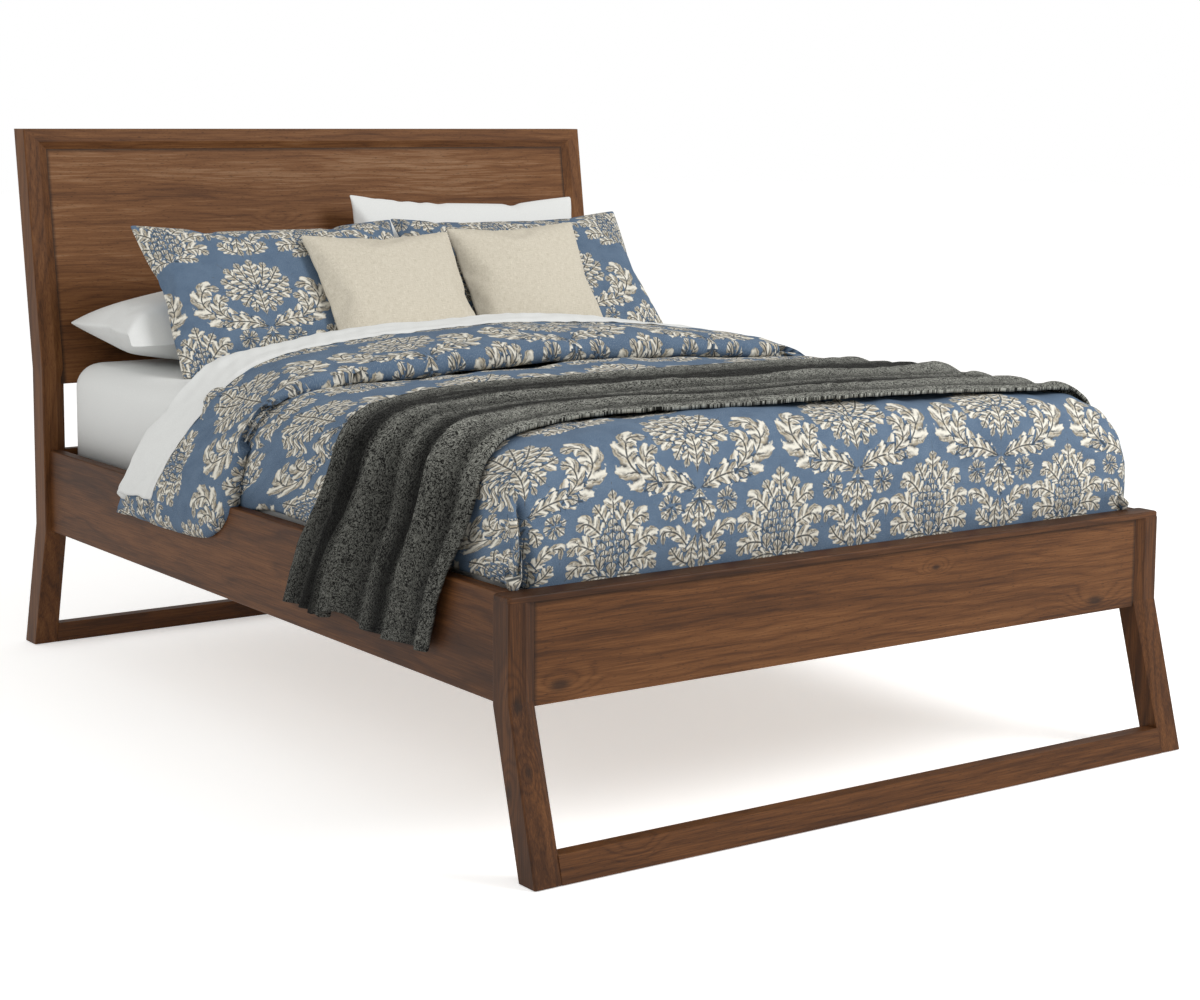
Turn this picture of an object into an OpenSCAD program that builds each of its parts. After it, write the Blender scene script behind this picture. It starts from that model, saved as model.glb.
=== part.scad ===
// A sled bed in solid walnut, dressed with its mattress, bed linen, duvet and throw.
// X runs across the bed, Y from the foot (-Y) to the head (+Y) and Z up from the floor.
// The origin is at the middle of the floor under the bed.

/* [Mattress] */
// Width of the mattress
mattress_w = 1524; // [1200:1:1900]
// Length of the mattress
mattress_l = 2032; // [1900:1:2150]
// Thickness of the mattress
mattress_t = 300; // [260:1:340]
// Rounding of the mattress along its edges
mattress_r = 60; // [40:1:70]
// Gap between the mattress and each side rail
side_gap = 18; // [14:1:30]
// Gap between the mattress and the footboard panel, where the duvet is tucked in
foot_gap = 44; // [40:1:70]
// Gap between the mattress and the lower head rail
head_gap = 5; // [3:1:20]

/* [Posts and sled legs] */
// Width of each post across the bed
post_w = 58; // [50:1:75]
// Depth of a foot post
foot_post_d = 54; // [50:1:70]
// Depth of a head post
head_post_d = 65; // [58:1:80]
// Height of the bend on the outer side of a leg
leg_h = 316; // [306:1:330]
// How far the foot legs splay out at the floor
foot_splay = 85; // [60:1:110]
// How far the head legs splay out at the floor
head_splay = 88; // [60:1:110]
// Height at which the headboard starts to lean back
lean_z = 704; // [690:1:730]
// How far the headboard leans back at its top
head_lean = 86; // [50:1:110]
// Height of the headboard
head_h = 1292; // [1200:1:1400]
// Width of the bevel on the inner edge of posts and top rail
bevel_w = 22; // [14:1:28]
// Rounding of the outer edges of posts and rails
edge_r = 3; // [1.5:0.5:5]
// Thickness of the felt glides under the legs
glide_t = 2; // [1:0.5:4]
// Radius of a glide
glide_r = 17; // [10:1:20]

/* [Footboard and headboard] */
// How far panels and boards lie behind the front of the posts
recess = 9; // [5:0.5:13]
// Thickness of the footboard panel
foot_panel_t = 25; // [20:1:30]
// Thickness of the cap on the footboard
cap_t = 12; // [8:1:16]
// Room between the foot posts and the duvet
foot_room = 4; // [3:0.5:8]
// Thickness of the headboard boards
board_t = 22; // [18:1:28]
// Height of the lowest edge of the headboard boards
board_bottom = 668; // [640:1:690]
// Height of the headboard top rail
top_rail_h = 50; // [40:1:70]
// Number of boards glued edge to edge in the headboard
board_n = 4; // [4]
// Depth of the groove that houses the boards
groove_d = 8; // [5:1:12]
// Thickness of the lower head rail
head_rail_t = 25; // [20:1:30]
// Height of a floor stretcher
stretcher_h = 53; // [40:1:70]
// Depth of a floor stretcher
stretcher_d = 31; // [25:1:40]
// Length of a tenon
tenon_l = 20; // [12:1:30]
// Shoulder left around a tenon, on each face
tenon_shoulder = 6; // [4:0.5:8]
// Distance from the end of a board to its tenon
tenon_end = 30; // [20:1:40]

/* [Side rails] */
// Height of the top of rails and footboard
rail_top = 505; // [495:1:520]
// Height of a side rail
rail_h = 202; // [195:1:215]
// Thickness of a side rail
rail_t = 30; // [24:1:35]
// How far a rail lies inside the outer face of the posts
rail_inset = 15; // [8:1:20]
// Width of a ledger
ledger_w = 25; // [20:1:35]
// Height of a ledger
ledger_h = 40; // [30:1:50]
// Width of a bed hook plate
plate_w = 16; // [14:1:18]
// Height of a bed hook plate
plate_h = 120; // [110:1:130]
// Thickness of a bed hook plate
plate_t = 2.5; // [2:0.1:3]

/* [Slats and centre support] */
// Number of slats
slat_n = 13; // [13]
// Width of a slat
slat_w = 75; // [60:1:90]
// Thickness of a slat
slat_t = 18; // [15:1:22]
// Depth of the slats' top below the top of the rails
deck_drop = 85; // [75:1:95]
// Free length at each end of a slat
slat_end = 2; // [1:0.5:5]
// Width of the centre beam
beam_w = 40; // [34:1:60]
// Height of the centre beam
beam_h = 70; // [60:1:80]
// Width of the centre leg
support_w = 50; // [40:1:60]
// Height of the centre leg's lower end above the floor
support_z = 30; // [27:1:40]
// Radius of the levelling foot's stud
stud_r = 4.95; // [3.95:0.05:5.95]
// Running gap between the stud and its threaded insert
stud_gap = 0.05; // [0.02:0.01:0.1]
// Radius of the levelling foot's pad
pad_r = 22; // [18:1:25]
// Height of the levelling foot's pad
pad_h = 8; // [5:1:10]
// Length of the threaded insert
insert_l = 25; // [20:1:30]
// Thickness of the steel hangers that hold the beam
hanger_t = 2; // [1.5:0.1:3]
// Length of the hangers' seat under the beam
hanger_l = 45; // [35:1:60]

/* [Screws] */
// Radius of the wood screws
screw_r = 2; // [1.5:0.1:2.5]
// Number of screws in a ledger
ledger_screw_n = 6; // [4:1:8]
// Depth to which screws reach into the second piece
screw_bite = 15; // [10:1:20]

/* [Duvet, sheets and throw] */
// Thickness of the fitted sheet
fitted_t = 1.2; // [0.8:0.1:2]
// Thickness of the flat sheet
flat_t = 1.5; // [1:0.1:2.5]
// Height of the duvet's crown above the mattress
duvet_loft = 60; // [50:1:80]
// Height of the duvet's folded-back band above the mattress
fold_loft = 116; // [100:1:140]
// Distance from the lower head rail to the duvet's fold
fold_from_head = 625; // [600:1:680]
// Length of the folded-back band, from its hem to its fold
fold_l = 455; // [400:1:480]
// Width of the sheet that is turned down over the fold
turn_down = 110; // [80:1:160]
// Height of the duvet's side hem, where it hangs over the rail
duvet_hem_z = 418; // [400:1:440]
// Height of the flat sheet's side hem
sheet_hem_z = 470; // [455:1:480]
// Height of the throw's hems
throw_hem_z = 368; // [340:1:400]
// Width of the throw as it lies in folds
throw_fold_w = 580; // [500:1:640]
// Distance from the duvet's foot to the throw
throw_start = 142; // [142:1:180]
// Thickness of the throw between its folds
throw_t = 12; // [8:1:16]
// Height of the throw's folds
throw_ridge = 26; // [15:1:32]

/* [Pillows] */
// Width of a sham
sham_w = 716; // [660:1:740]
// Height of a sham
sham_h = 452; // [420:1:480]
// Thickness of a sham at its crown
sham_t = 140; // [125:1:160]
// Width of a cushion
cushion_w = 415; // [390:1:440]
// Height of a cushion, pressed down on the bed
cushion_h = 400; // [380:1:420]
// Thickness of a square cushion
cushion_t = 136; // [120:1:150]
// Thickness of a cushion behind its seam, where it is pressed against a sham
cushion_back = 32; // [25:1:45]
// Width of a white pillow
pillow_w = 720; // [680:1:740]
// Height of the standing white pillow
pillow_h = 430; // [400:1:450]
// Depth of the lying white pillow, pushed together under the sham
lying_pillow_h = 345; // [320:1:370]
// Thickness of a white pillow
pillow_t = 226; // [215:1:240]
// Angle at which the shams and cushions lean back
sham_lean = 39.4; // [36:0.2:42]
// Distance from the lower head rail to the foot of the left sham
sham_left_y = 505; // [480:1:540]
// Distance from the lower head rail to the foot of the right sham
sham_right_y = 434; // [420:1:450]

/* [Hidden] */
$fn = 48;

// Gap between two glued or screwed pieces that are not face to face
joint_gap = 0.2;
// Gap that keeps soft pieces clear of what they rest on
rest_gap = 0.3;
// A cut reaches this far past the face it opens
cut = 1;

// Widths
inner_w = mattress_w + 2 * side_gap;
rail_out = inner_w / 2 + rail_t;
bed_w = 2 * (rail_out + rail_inset);
post_in = bed_w / 2 - post_w;
half_m = mattress_w / 2;

// Places along the bed
clear_l = foot_gap + mattress_l + head_gap;
head_from_foot = recess + foot_panel_t + clear_l - recess;
bed_l = foot_splay + head_from_foot + head_post_d + max(head_splay, head_lean);
foot_y = foot_splay - bed_l / 2;
head_y = foot_y + head_from_foot;
foot_panel_back = foot_y + recess + foot_panel_t;
head_rail_y = head_y + recess;
mattress_y0 = foot_panel_back + foot_gap;
mattress_y1 = mattress_y0 + mattress_l;
foot_post_back = foot_y + foot_post_d;

// Heights
rail_bottom = rail_top - rail_h;
deck_z = rail_top - deck_drop;
ledger_top = deck_z - slat_t;
top_z = deck_z + rest_gap + mattress_t;
lean_tan = head_lean / (head_h - lean_z);
mitre = top_rail_h / post_w;

// Colours
walnut = [0.40, 0.27, 0.18];
walnut_dark = [0.33, 0.22, 0.14];
pine = [0.80, 0.68, 0.50];
steel = [0.62, 0.63, 0.64];
black = [0.12, 0.12, 0.12];
white = [0.88, 0.88, 0.87];
blue = [0.42, 0.50, 0.60];
grey = [0.32, 0.32, 0.30];
cream = [0.85, 0.80, 0.72];

// General helpers

function mix(a, b, f) = a * (1 - f) + b * f;
function mix_lines(a, b, f) = [for (i = [0:len(a) - 1]) mix(a[i], b[i], f)];
function whole(half) = concat([for (p = half) [-p[0], p[1]]],
    [for (i = [1:len(half) - 1]) half[len(half) - 1 - i]]);

// A profile in X and Z, drawn out along Y
module along_y(y0, y1) {
    translate([0, y1, 0]) rotate([90, 0, 0]) linear_extrude(y1 - y0) children();
}

// A profile in Y and Z, drawn out along X
module along_x(x0, x1) {
    translate([x0, 0, 0]) rotate([90, 0, 90]) linear_extrude(x1 - x0) children();
}

module both_sides() {
    children();
    mirror([1, 0, 0]) children();
}

module block(low, high) {
    translate(low) cube(high - low);
}

// Corner points of a rectangle with rounded corners
function round_rect(x0, x1, y0, y1, r, steps = 3) = [
    for (c = [[x1 - r, y1 - r, 0], [x0 + r, y1 - r, 90], [x0 + r, y0 + r, 180], [x1 - r, y0 + r, 270]])
    for (k = [0:steps]) [c[0] + r * cos(c[2] + 90 * k / steps), c[1] + r * sin(c[2] + 90 * k / steps)]];

// A solid that joins closed rings of points, each ring seen counterclockwise from above
module loft(rings) {
    n = len(rings[0]);
    m = len(rings);
    polyhedron(points = [for (ring = rings) each ring],
        faces = concat(
            [for (j = [0:m - 2]) for (i = [0:n - 1]) each [
                [j * n + i, (j + 1) * n + i, (j + 1) * n + (i + 1) % n],
                [j * n + i, (j + 1) * n + (i + 1) % n, j * n + (i + 1) % n]]],
            [for (i = [1:n - 2]) [0, i, i + 1]],
            [for (i = [1:n - 2]) [(m - 1) * n, (m - 1) * n + i + 1, (m - 1) * n + i]]));
}

// A slab between two grids of points, upper and lower, with rows along one way and points across
module slab(upper, lower) {
    m = len(upper);
    n = len(upper[0]);
    low = m * n;
    function id(j, i) = j * n + i;
    polyhedron(points = concat([for (row = upper) each row], [for (row = lower) each row]),
        faces = concat(
            [for (j = [0:m - 2]) for (i = [0:n - 2]) each [
                [id(j, i), id(j + 1, i), id(j + 1, i + 1)],
                [id(j, i), id(j + 1, i + 1), id(j, i + 1)],
                [low + id(j, i), low + id(j + 1, i + 1), low + id(j + 1, i)],
                [low + id(j, i), low + id(j, i + 1), low + id(j + 1, i + 1)]]],
            [for (j = [0:m - 2]) each [
                [id(j, 0), low + id(j, 0), low + id(j + 1, 0)],
                [id(j, 0), low + id(j + 1, 0), id(j + 1, 0)],
                [id(j, n - 1), id(j + 1, n - 1), low + id(j + 1, n - 1)],
                [id(j, n - 1), low + id(j + 1, n - 1), low + id(j, n - 1)]]],
            [for (i = [0:n - 2]) each [
                [id(0, i), id(0, i + 1), low + id(0, i + 1)],
                [id(0, i), low + id(0, i + 1), low + id(0, i)],
                [id(m - 1, i), low + id(m - 1, i + 1), id(m - 1, i + 1)],
                [id(m - 1, i), low + id(m - 1, i), low + id(m - 1, i + 1)]]]));
}

// Posts and legs

// Section of a post: distance from its outer face, distance behind its front, share of the bevel
function post_section(d) = [[0, edge_r, 0], [0, d - edge_r, 0], [edge_r / 3, d - edge_r / 3, 0],
    [edge_r, d, 0], [post_w - edge_r, d, 0], [post_w, d - edge_r, 0], [post_w, 0, 1],
    [post_w - bevel_w, 0, 0], [edge_r, 0, 0], [edge_r / 3, edge_r / 3, 0]];

// Height of a bend at a distance behind the post's front
function bend_z(v, d, front, back) = mix(front, back, v / d);

// One ring of a leg, below the bend
function leg_ring(d, y, splay, front, back, z, bevel) = [for (s = post_section(d))
    let (v = s[1] + s[2] * bevel)
    [s[0] - bed_w / 2, y + v + splay * (1 - z / bend_z(v, d, front, back)), z]];

function bend_ring(d, y, front, back) = [for (s = post_section(d))
    let (v = s[1] + s[2] * recess) [s[0] - bed_w / 2, y + v, bend_z(v, d, front, back)]];

function upright_ring(d, y, z) = [for (s = post_section(d))
    [s[0] - bed_w / 2, y + s[1] + s[2] * recess, z]];

function lean_y(z) = head_y + lean_tan * (z - lean_z);

// The ring at the mitre of a head post, which the top rail shares
function mitre_ring(side) = [for (s = post_section(head_post_d))
    let (z = head_h - s[0] * mitre)
    [side * (bed_w / 2 - s[0]), lean_y(z) + s[1] + s[2] * recess, z]];

module foot_post_solid() {
    loft([leg_ring(foot_post_d, foot_y, -foot_splay, leg_h, rail_bottom, glide_t, 1),
        leg_ring(foot_post_d, foot_y, -foot_splay, leg_h, rail_bottom, stretcher_h, 2),
        bend_ring(foot_post_d, foot_y, leg_h, rail_bottom),
        upright_ring(foot_post_d, foot_y, rail_top - cap_t)]);
}

module head_post_solid() {
    loft([leg_ring(head_post_d, head_y, head_splay, rail_bottom, leg_h, glide_t, 1),
        leg_ring(head_post_d, head_y, head_splay, rail_bottom, leg_h, stretcher_h, 2),
        bend_ring(head_post_d, head_y, rail_bottom, leg_h),
        upright_ring(head_post_d, head_y, lean_z),
        mitre_ring(-1)]);
}

module foot_post() {
    difference() {
        foot_post_solid();
        stretcher_tenons(foot_y, -foot_splay, leg_h, joint_gap);
        rail_tenons(foot_y + recess, foot_panel_t, rail_top - cap_t, joint_gap);
        translate([0, foot_post_back, 0]) hook_pocket();
        translate([0, foot_post_back, 0]) receiver_plate(joint_gap);
        translate([0, foot_post_back, 0]) receiver_screw_set(joint_gap);
    }
}

module head_post() {
    difference() {
        head_post_solid();
        stretcher_tenons(head_y, head_splay, rail_bottom, joint_gap);
        rail_tenons(head_rail_y, head_rail_t, rail_top, joint_gap);
        board_groove();
        translate([0, head_y, 0]) mirror([0, 1, 0]) hook_pocket();
        translate([0, head_y, 0]) mirror([0, 1, 0]) receiver_plate(joint_gap);
        translate([0, head_y, 0]) mirror([0, 1, 0]) receiver_screw_set(joint_gap);
    }
}

// Floor stretchers

// The stretcher's section in Y and Z follows the splay of the legs' front
function stretcher_profile(y, splay, bend, inset) = [
    for (p = [[glide_t + inset, inset], [glide_t + inset, stretcher_d - inset],
        [stretcher_h - inset, stretcher_d - inset], [stretcher_h - inset, inset]])
    [y + splay * (1 - p[0] / bend) + p[1], p[0]]];

module stretcher_tenons(y, splay, bend, gap) {
    x_end = post_in + tenon_l + gap;
    along_x(-x_end, x_end) polygon(stretcher_profile(y, splay, bend, tenon_shoulder - gap));
}

module stretcher(y, splay, bend) {
    along_x(-post_in, post_in) polygon(stretcher_profile(y, splay, bend, 0));
    stretcher_tenons(y, splay, bend, 0);
}

// Footboard panel and lower head rail

module rail_tenons(y, t, z_top, gap) {
    x_end = post_in + tenon_l + gap;
    block([-x_end, y + tenon_shoulder - gap, rail_bottom + tenon_end - gap],
        [x_end, y + t - tenon_shoulder + gap, z_top - tenon_end + gap]);
}

module cross_rail(y, t, z_top) {
    block([-post_in, y, rail_bottom], [post_in, y + t, z_top]);
    rail_tenons(y, t, z_top, 0);
}

module footboard_panel() {
    color(walnut) difference() {
        cross_rail(foot_y + recess, foot_panel_t, rail_top - cap_t);
        hanger_screw_set(joint_gap);
    }
}

module lower_head_rail() {
    color(walnut) difference() {
        cross_rail(head_rail_y, head_rail_t, rail_top);
        mirror_to_head() hanger_screw_set(joint_gap);
    }
}

module footboard_cap() {
    x = bed_w / 2;
    y1 = foot_post_back - joint_gap;
    function ring(z, inset) = [for (p = round_rect(-x + inset, x - inset, foot_y + inset, y1 - inset,
        2 * edge_r)) [p[0], p[1], z]];
    color(walnut) loft([ring(rail_top - cap_t, 0), ring(rail_top - edge_r, 0),
        ring(rail_top - edge_r / 3, edge_r / 3), ring(rail_top, edge_r)]);
}

// Headboard

// Front and back of the boards at a height, widened by a gap all round
function board_profile(z0, z1, gap) = let (y = recess - gap, t = board_t + 2 * gap) [
    [lean_y(z0) + y, z0], [lean_y(z0) + y + t, z0], [lean_y(z1) + y + t, z1], [lean_y(z1) + y, z1]];

board_top = head_h - top_rail_h + groove_d;

module board_groove() {
    x_end = post_in + groove_d + joint_gap;
    along_x(-x_end, x_end) polygon(board_profile(board_bottom - joint_gap, board_top + joint_gap, joint_gap));
}

module headboard_board(k) {
    step = (board_top - board_bottom) / board_n;
    z1 = board_top - (k - 1) * step;
    x_end = post_in + groove_d;
    color(k % 2 == 0 ? walnut : walnut_dark)
        along_x(-x_end, x_end) polygon(board_profile(z1 - step, z1, 0));
}

module headboard_top_rail() {
    color(walnut) difference() {
        loft_across(mitre_ring(-1), mitre_ring(1));
        board_groove();
    }
}

// A bar between two rings that face each other across the bed
module loft_across(left, right) {
    n = len(left);
    polyhedron(points = concat(left, right),
        faces = concat(
            [for (i = [0:n - 1]) each [[i, n + i, n + (i + 1) % n], [i, n + (i + 1) % n, (i + 1) % n]]],
            [for (i = [1:n - 2]) [0, i, i + 1]],
            [for (i = [1:n - 2]) [n, n + i + 1, n + i]]));
}

// Side rails and ledgers

rail_y0 = foot_post_back;
rail_y1 = head_y;

module side_rail() {
    color(walnut) difference() {
        along_y(rail_y0, rail_y1)
            polygon(round_rect(-rail_out, -inner_w / 2, rail_bottom, rail_top, edge_r));
        at_rail_ends() hook_plate(joint_gap);
        at_rail_ends() hook_screw_set(joint_gap);
        ledger_screw_set(joint_gap);
    }
}

module ledger() {
    color(pine) difference() {
        block([-inner_w / 2, rail_y0 + slat_end, ledger_top - ledger_h],
            [-inner_w / 2 + ledger_w, rail_y1 - slat_end, ledger_top]);
        ledger_screw_set(joint_gap);
        for (k = [1:slat_n]) slat_screw(k, joint_gap);
    }
}

// Places both ends of the left rail: the foot end as it is, the head end turned round
module at_rail_ends() {
    translate([0, rail_y0, 0]) children();
    translate([0, rail_y1, 0]) mirror([0, 1, 0]) children();
}

// Bed hooks: a plate let into the rail's end with two hooks that drop into the receiver's slots

hook_x = -(rail_out - rail_t / 2);
hook_z = rail_bottom + rail_h / 2;
hook_t = 3;
hook_reach = 8;
hook_drop = 10;
hook_neck = 12;
hook_pitch = 60;
slot_play = 0.5;
pocket_d = 12;

module plate_block(y0, y1, gap) {
    block([hook_x - plate_w / 2 - gap, y0, hook_z - plate_h / 2 - gap],
        [hook_x + plate_w / 2 + gap, y1, hook_z + plate_h / 2 + gap]);
}

module hook_plate(gap) {
    plate_block(-(gap > 0 ? cut : 0), plate_t + gap, gap);
}

module receiver_plate(gap) {
    plate_block(-plate_t - gap, gap > 0 ? cut : 0, gap);
}

module hook_pair() {
    for (z = [hook_z - hook_pitch / 2, hook_z + hook_pitch / 2]) {
        block([hook_x - hook_t / 2, -hook_reach, z], [hook_x + hook_t / 2, 0, z + hook_neck]);
        block([hook_x - hook_t / 2, -hook_reach, z - hook_drop],
            [hook_x + hook_t / 2, -plate_t - joint_gap, z]);
    }
}

module hook_slots() {
    for (z = [hook_z - hook_pitch / 2, hook_z + hook_pitch / 2])
        block([hook_x - hook_t / 2 - slot_play, -plate_t - cut, z - joint_gap],
            [hook_x + hook_t / 2 + slot_play, cut, z + hook_neck + hook_drop]);
}

module hook_pocket() {
    block([hook_x - hook_t, -pocket_d, hook_z - hook_pitch / 2 - 2 * hook_drop],
        [hook_x + hook_t, 0, hook_z + hook_pitch / 2 + hook_neck + hook_drop + joint_gap]);
}

screw_head_r = 2 * screw_r;

// A countersunk screw along +Z, its head's face at zero
module screw(length, gap) {
    rotate_extrude() polygon([[0, -length - gap], [screw_r + gap, -length - gap],
        [screw_r + gap, -screw_r], [screw_head_r + gap, 0], [screw_head_r + gap, gap > 0 ? cut : 0],
        [0, gap > 0 ? cut : 0]]);
}

plate_screw_z = plate_h / 2 - 2 * screw_head_r;

// Screws of a hook plate, into the rail, and of a receiver, into the post
module hook_screw_set(gap) {
    for (s = [-1, 1]) translate([hook_x, 0, hook_z + s * plate_screw_z])
        rotate([90, 0, 0]) screw(plate_t + screw_bite, gap);
}

module receiver_screw_set(gap) {
    for (s = [-1, 1]) translate([hook_x, 0, hook_z + s * plate_screw_z])
        rotate([-90, 0, 0]) screw(plate_t + screw_bite, gap);
}

module bed_hooks() {
    color(steel) both_sides() at_rail_ends() difference() {
        union() {
            hook_plate(0);
            hook_pair();
        }
        hook_screw_set(joint_gap);
    }
}

module hook_receivers() {
    color(steel) both_sides() at_rail_ends() difference() {
        receiver_plate(0);
        hook_slots();
        receiver_screw_set(joint_gap);
    }
}

// The two plates of a joint meet face to face, so their screws are set a little below the faces
module hook_screws() {
    color(steel) both_sides() at_rail_ends() {
        translate([0, joint_gap, 0]) hook_screw_set(0);
        translate([0, -joint_gap, 0]) receiver_screw_set(0);
    }
}

// Screws that hold the ledgers to the rails

ledger_screw_z = ledger_top - ledger_h / 2;
slat_pitch = (rail_y1 - rail_y0 - 2 * slat_end - slat_w) / (slat_n - 1);

module ledger_screw_set(gap) {
    step = slat_pitch * floor((slat_n - 2) / (ledger_screw_n - 1));
    for (k = [0:ledger_screw_n - 1])
        translate([-inner_w / 2 + ledger_w, slat_y(1) + slat_pitch / 2 + k * step, ledger_screw_z])
            rotate([0, 90, 0]) screw(ledger_w + screw_bite, gap);
}

module ledger_screws() {
    color(steel) both_sides() ledger_screw_set(0);
}

// Slats

function slat_y(k) = rail_y0 + slat_end + slat_w / 2 + (k - 1) * slat_pitch;

module slat_screw(k, gap) {
    translate([-inner_w / 2 + ledger_w / 2, slat_y(k), deck_z]) screw(slat_t + screw_bite, gap);
}

module slat(k) {
    x = inner_w / 2 - slat_end;
    color(pine) difference() {
        along_x(-x, x) polygon(round_rect(slat_y(k) - slat_w / 2, slat_y(k) + slat_w / 2,
            deck_z - slat_t, deck_z, slat_t / 9));
        both_sides() slat_screw(k, joint_gap);
    }
}

module slat_screws() {
    color(steel) both_sides() for (k = [1:slat_n]) slat_screw(k, 0);
}

// Centre beam, its hangers and its leg

beam_bottom = ledger_top - beam_h;
beam_y0 = foot_panel_back + hanger_t + joint_gap;
beam_y1 = head_rail_y - hanger_t - joint_gap;
beam_mid = (foot_panel_back + head_rail_y) / 2;
leg_pin_r = support_w / 4;
leg_pin_l = beam_h / 2;

module mirror_to_head() {
    translate([0, beam_mid, 0]) mirror([0, 1, 0]) translate([0, -beam_mid, 0]) children();
}

module centre_beam() {
    color(pine) difference() {
        block([-beam_w / 2, beam_y0, beam_bottom], [beam_w / 2, beam_y1, ledger_top]);
        translate([0, beam_mid, beam_bottom - cut])
            cylinder(r = leg_pin_r + joint_gap, h = leg_pin_l + cut + joint_gap);
    }
}

// A hanger: a plate against the panel and a U-shaped seat for the beam
module hanger() {
    y0 = foot_panel_back;
    x0 = beam_w / 2 + joint_gap;
    wing = 4 * screw_head_r;
    difference() {
        union() {
            block([-x0 - wing, y0, beam_bottom - joint_gap - hanger_t],
                [x0 + wing, y0 + hanger_t, ledger_top]);
            for (s = [-1, 1]) block([s * x0 + (s < 0 ? -hanger_t : 0), y0, beam_bottom - joint_gap],
                [s * x0 + (s < 0 ? 0 : hanger_t), y0 + hanger_l, ledger_top]);
            block([-x0 - hanger_t, y0, beam_bottom - joint_gap - hanger_t],
                [x0 + hanger_t, y0 + hanger_l, beam_bottom - joint_gap]);
        }
        hanger_screw_set(joint_gap);
    }
}

module hanger_screw_set(gap) {
    for (sx = [-1, 1]) for (z = [beam_bottom + beam_h / 4, beam_bottom + 3 * beam_h / 4])
        translate([sx * (beam_w / 2 + joint_gap + 2.5 * screw_head_r), foot_panel_back + hanger_t, z])
            rotate([-90, 0, 0]) screw(hanger_t + screw_bite, gap);
}

module beam_hangers() {
    color(black) {
        hanger();
        mirror_to_head() hanger();
    }
}

module hanger_screws() {
    color(steel) {
        hanger_screw_set(0);
        mirror_to_head() hanger_screw_set(0);
    }
}

insert_r = stud_r + stud_gap + 3;
stud_top = support_z + insert_l + 8;
foot_travel_up = 14;

module centre_leg() {
    color(pine) difference() {
        translate([0, beam_mid, 0]) union() {
            along_z_square(support_w, support_z, beam_bottom);
            translate([0, 0, beam_bottom]) cylinder(r = leg_pin_r, h = leg_pin_l);
        }
        translate([0, beam_mid, support_z - cut])
            cylinder(r = insert_r + joint_gap, h = insert_l + cut + joint_gap);
        translate([0, beam_mid, support_z])
            cylinder(r = stud_r + stud_gap + 1, h = stud_top + foot_travel_up + 3 - support_z);
    }
}

module along_z_square(w, z0, z1) {
    translate([0, 0, z0]) linear_extrude(z1 - z0) polygon(round_rect(-w / 2, w / 2, -w / 2, w / 2, edge_r));
}

module threaded_insert() {
    color(steel) translate([0, beam_mid, support_z]) difference() {
        cylinder(r = insert_r, h = insert_l);
        translate([0, 0, -cut]) cylinder(r = stud_r + stud_gap, h = insert_l + 2 * cut);
    }
}

module levelling_foot() {
    color(black) translate([0, beam_mid, 0]) {
        rotate_extrude() polygon([[0, 0], [pad_r - 1, 0], [pad_r, 1], [pad_r, pad_h / 2],
            [pad_r / 2, pad_h], [0, pad_h]]);
        translate([0, 0, pad_h]) cylinder(r = stud_r, h = stud_top - pad_h);
    }
}

// Felt glides under the four legs
module floor_glides() {
    color(black) both_sides() {
        for (y = [leg_middle(foot_y, foot_post_d, -foot_splay, leg_h, rail_bottom),
            leg_middle(head_y, head_post_d, head_splay, rail_bottom, leg_h)])
            translate([-bed_w / 2 + post_w / 2, y, 0]) cylinder(r = glide_r, h = glide_t);
    }
}

function leg_middle(y, d, splay, front, back) =
    y + d / 2 + splay * (1 - glide_t / bend_z(d / 2, d, front, back));

// Mattress and fitted sheet

arc_steps = [30, 60, 90];

// A ring round the mattress at a height, with an inset, widened by a gap
function mattress_ring(z, inset, gap) = [for (p = round_rect(-half_m + inset - gap, half_m - inset + gap,
    mattress_y0 + inset - gap, mattress_y1 - inset + gap, mattress_r * 1.4 - inset / 2, 4)) [p[0], p[1], z]];

function mattress_rings(gap, z0) = concat(
    [mattress_ring(z0, 0, gap), mattress_ring(top_z - mattress_r, 0, gap)],
    [for (a = arc_steps) mattress_ring(top_z - mattress_r + (mattress_r + gap) * sin(a),
        (mattress_r + gap) * (1 - cos(a)), gap)]);

module mattress() {
    z0 = deck_z + rest_gap;
    color(white) loft(concat([mattress_ring(z0, mattress_r / 3, 0)], mattress_rings(0, z0 + mattress_r / 3)));
}

module fitted_sheet() {
    z0 = deck_z + rest_gap + mattress_r;
    color(white) difference() {
        loft(mattress_rings(rest_gap + fitted_t, z0));
        loft(mattress_rings(rest_gap, z0 - cut));
    }
}

// Profiles of the soft layers in X and Z, each a half from its side hem to the middle

crown_shares = [0.8, 0.6, 0.4, 0.2, 0];

// The mattress's own outline, a distance d outside it
function over_mattress(d, z_hem) = concat(
    [[half_m + d, z_hem], [half_m + d, mix(z_hem, top_z - mattress_r, 0.5)],
        [half_m + d, top_z - mattress_r]],
    [for (a = arc_steps) [half_m - mattress_r + (mattress_r + d) * cos(a),
        top_z - mattress_r + (mattress_r + d) * sin(a)]],
    [for (f = crown_shares) [(half_m - mattress_r) * f, top_z + d]]);

// The same, but led over the top of the side rail and down its outer face
function over_rail(d, z_hem) = let (flat = over_mattress(d, z_hem))
    [for (i = [0:len(flat) - 1])
        i == 0 ? [rail_out + d, z_hem] :
        i == 1 ? [rail_out + d, max(z_hem + 1, rail_top - 2 * edge_r)] :
        i == 2 ? [rail_out - edge_r + d, rail_top + 2 * edge_r + d] : flat[i]];

// A crowned layer: upright side, round shoulder, then a low crown
function arch(x, z_hem, z_side, shoulder_w, z_shoulder, crown, tuck) = concat(
    [[x - tuck, z_hem], [x, mix(z_hem, z_side, 0.4)], [x, z_side]],
    [for (a = arc_steps) [x - shoulder_w * (1 - cos(a)), mix(z_side, z_shoulder, sin(a))]],
    [for (f = crown_shares) [(x - shoulder_w) * f, z_shoulder + crown * (1 - f * f)]]);

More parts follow.
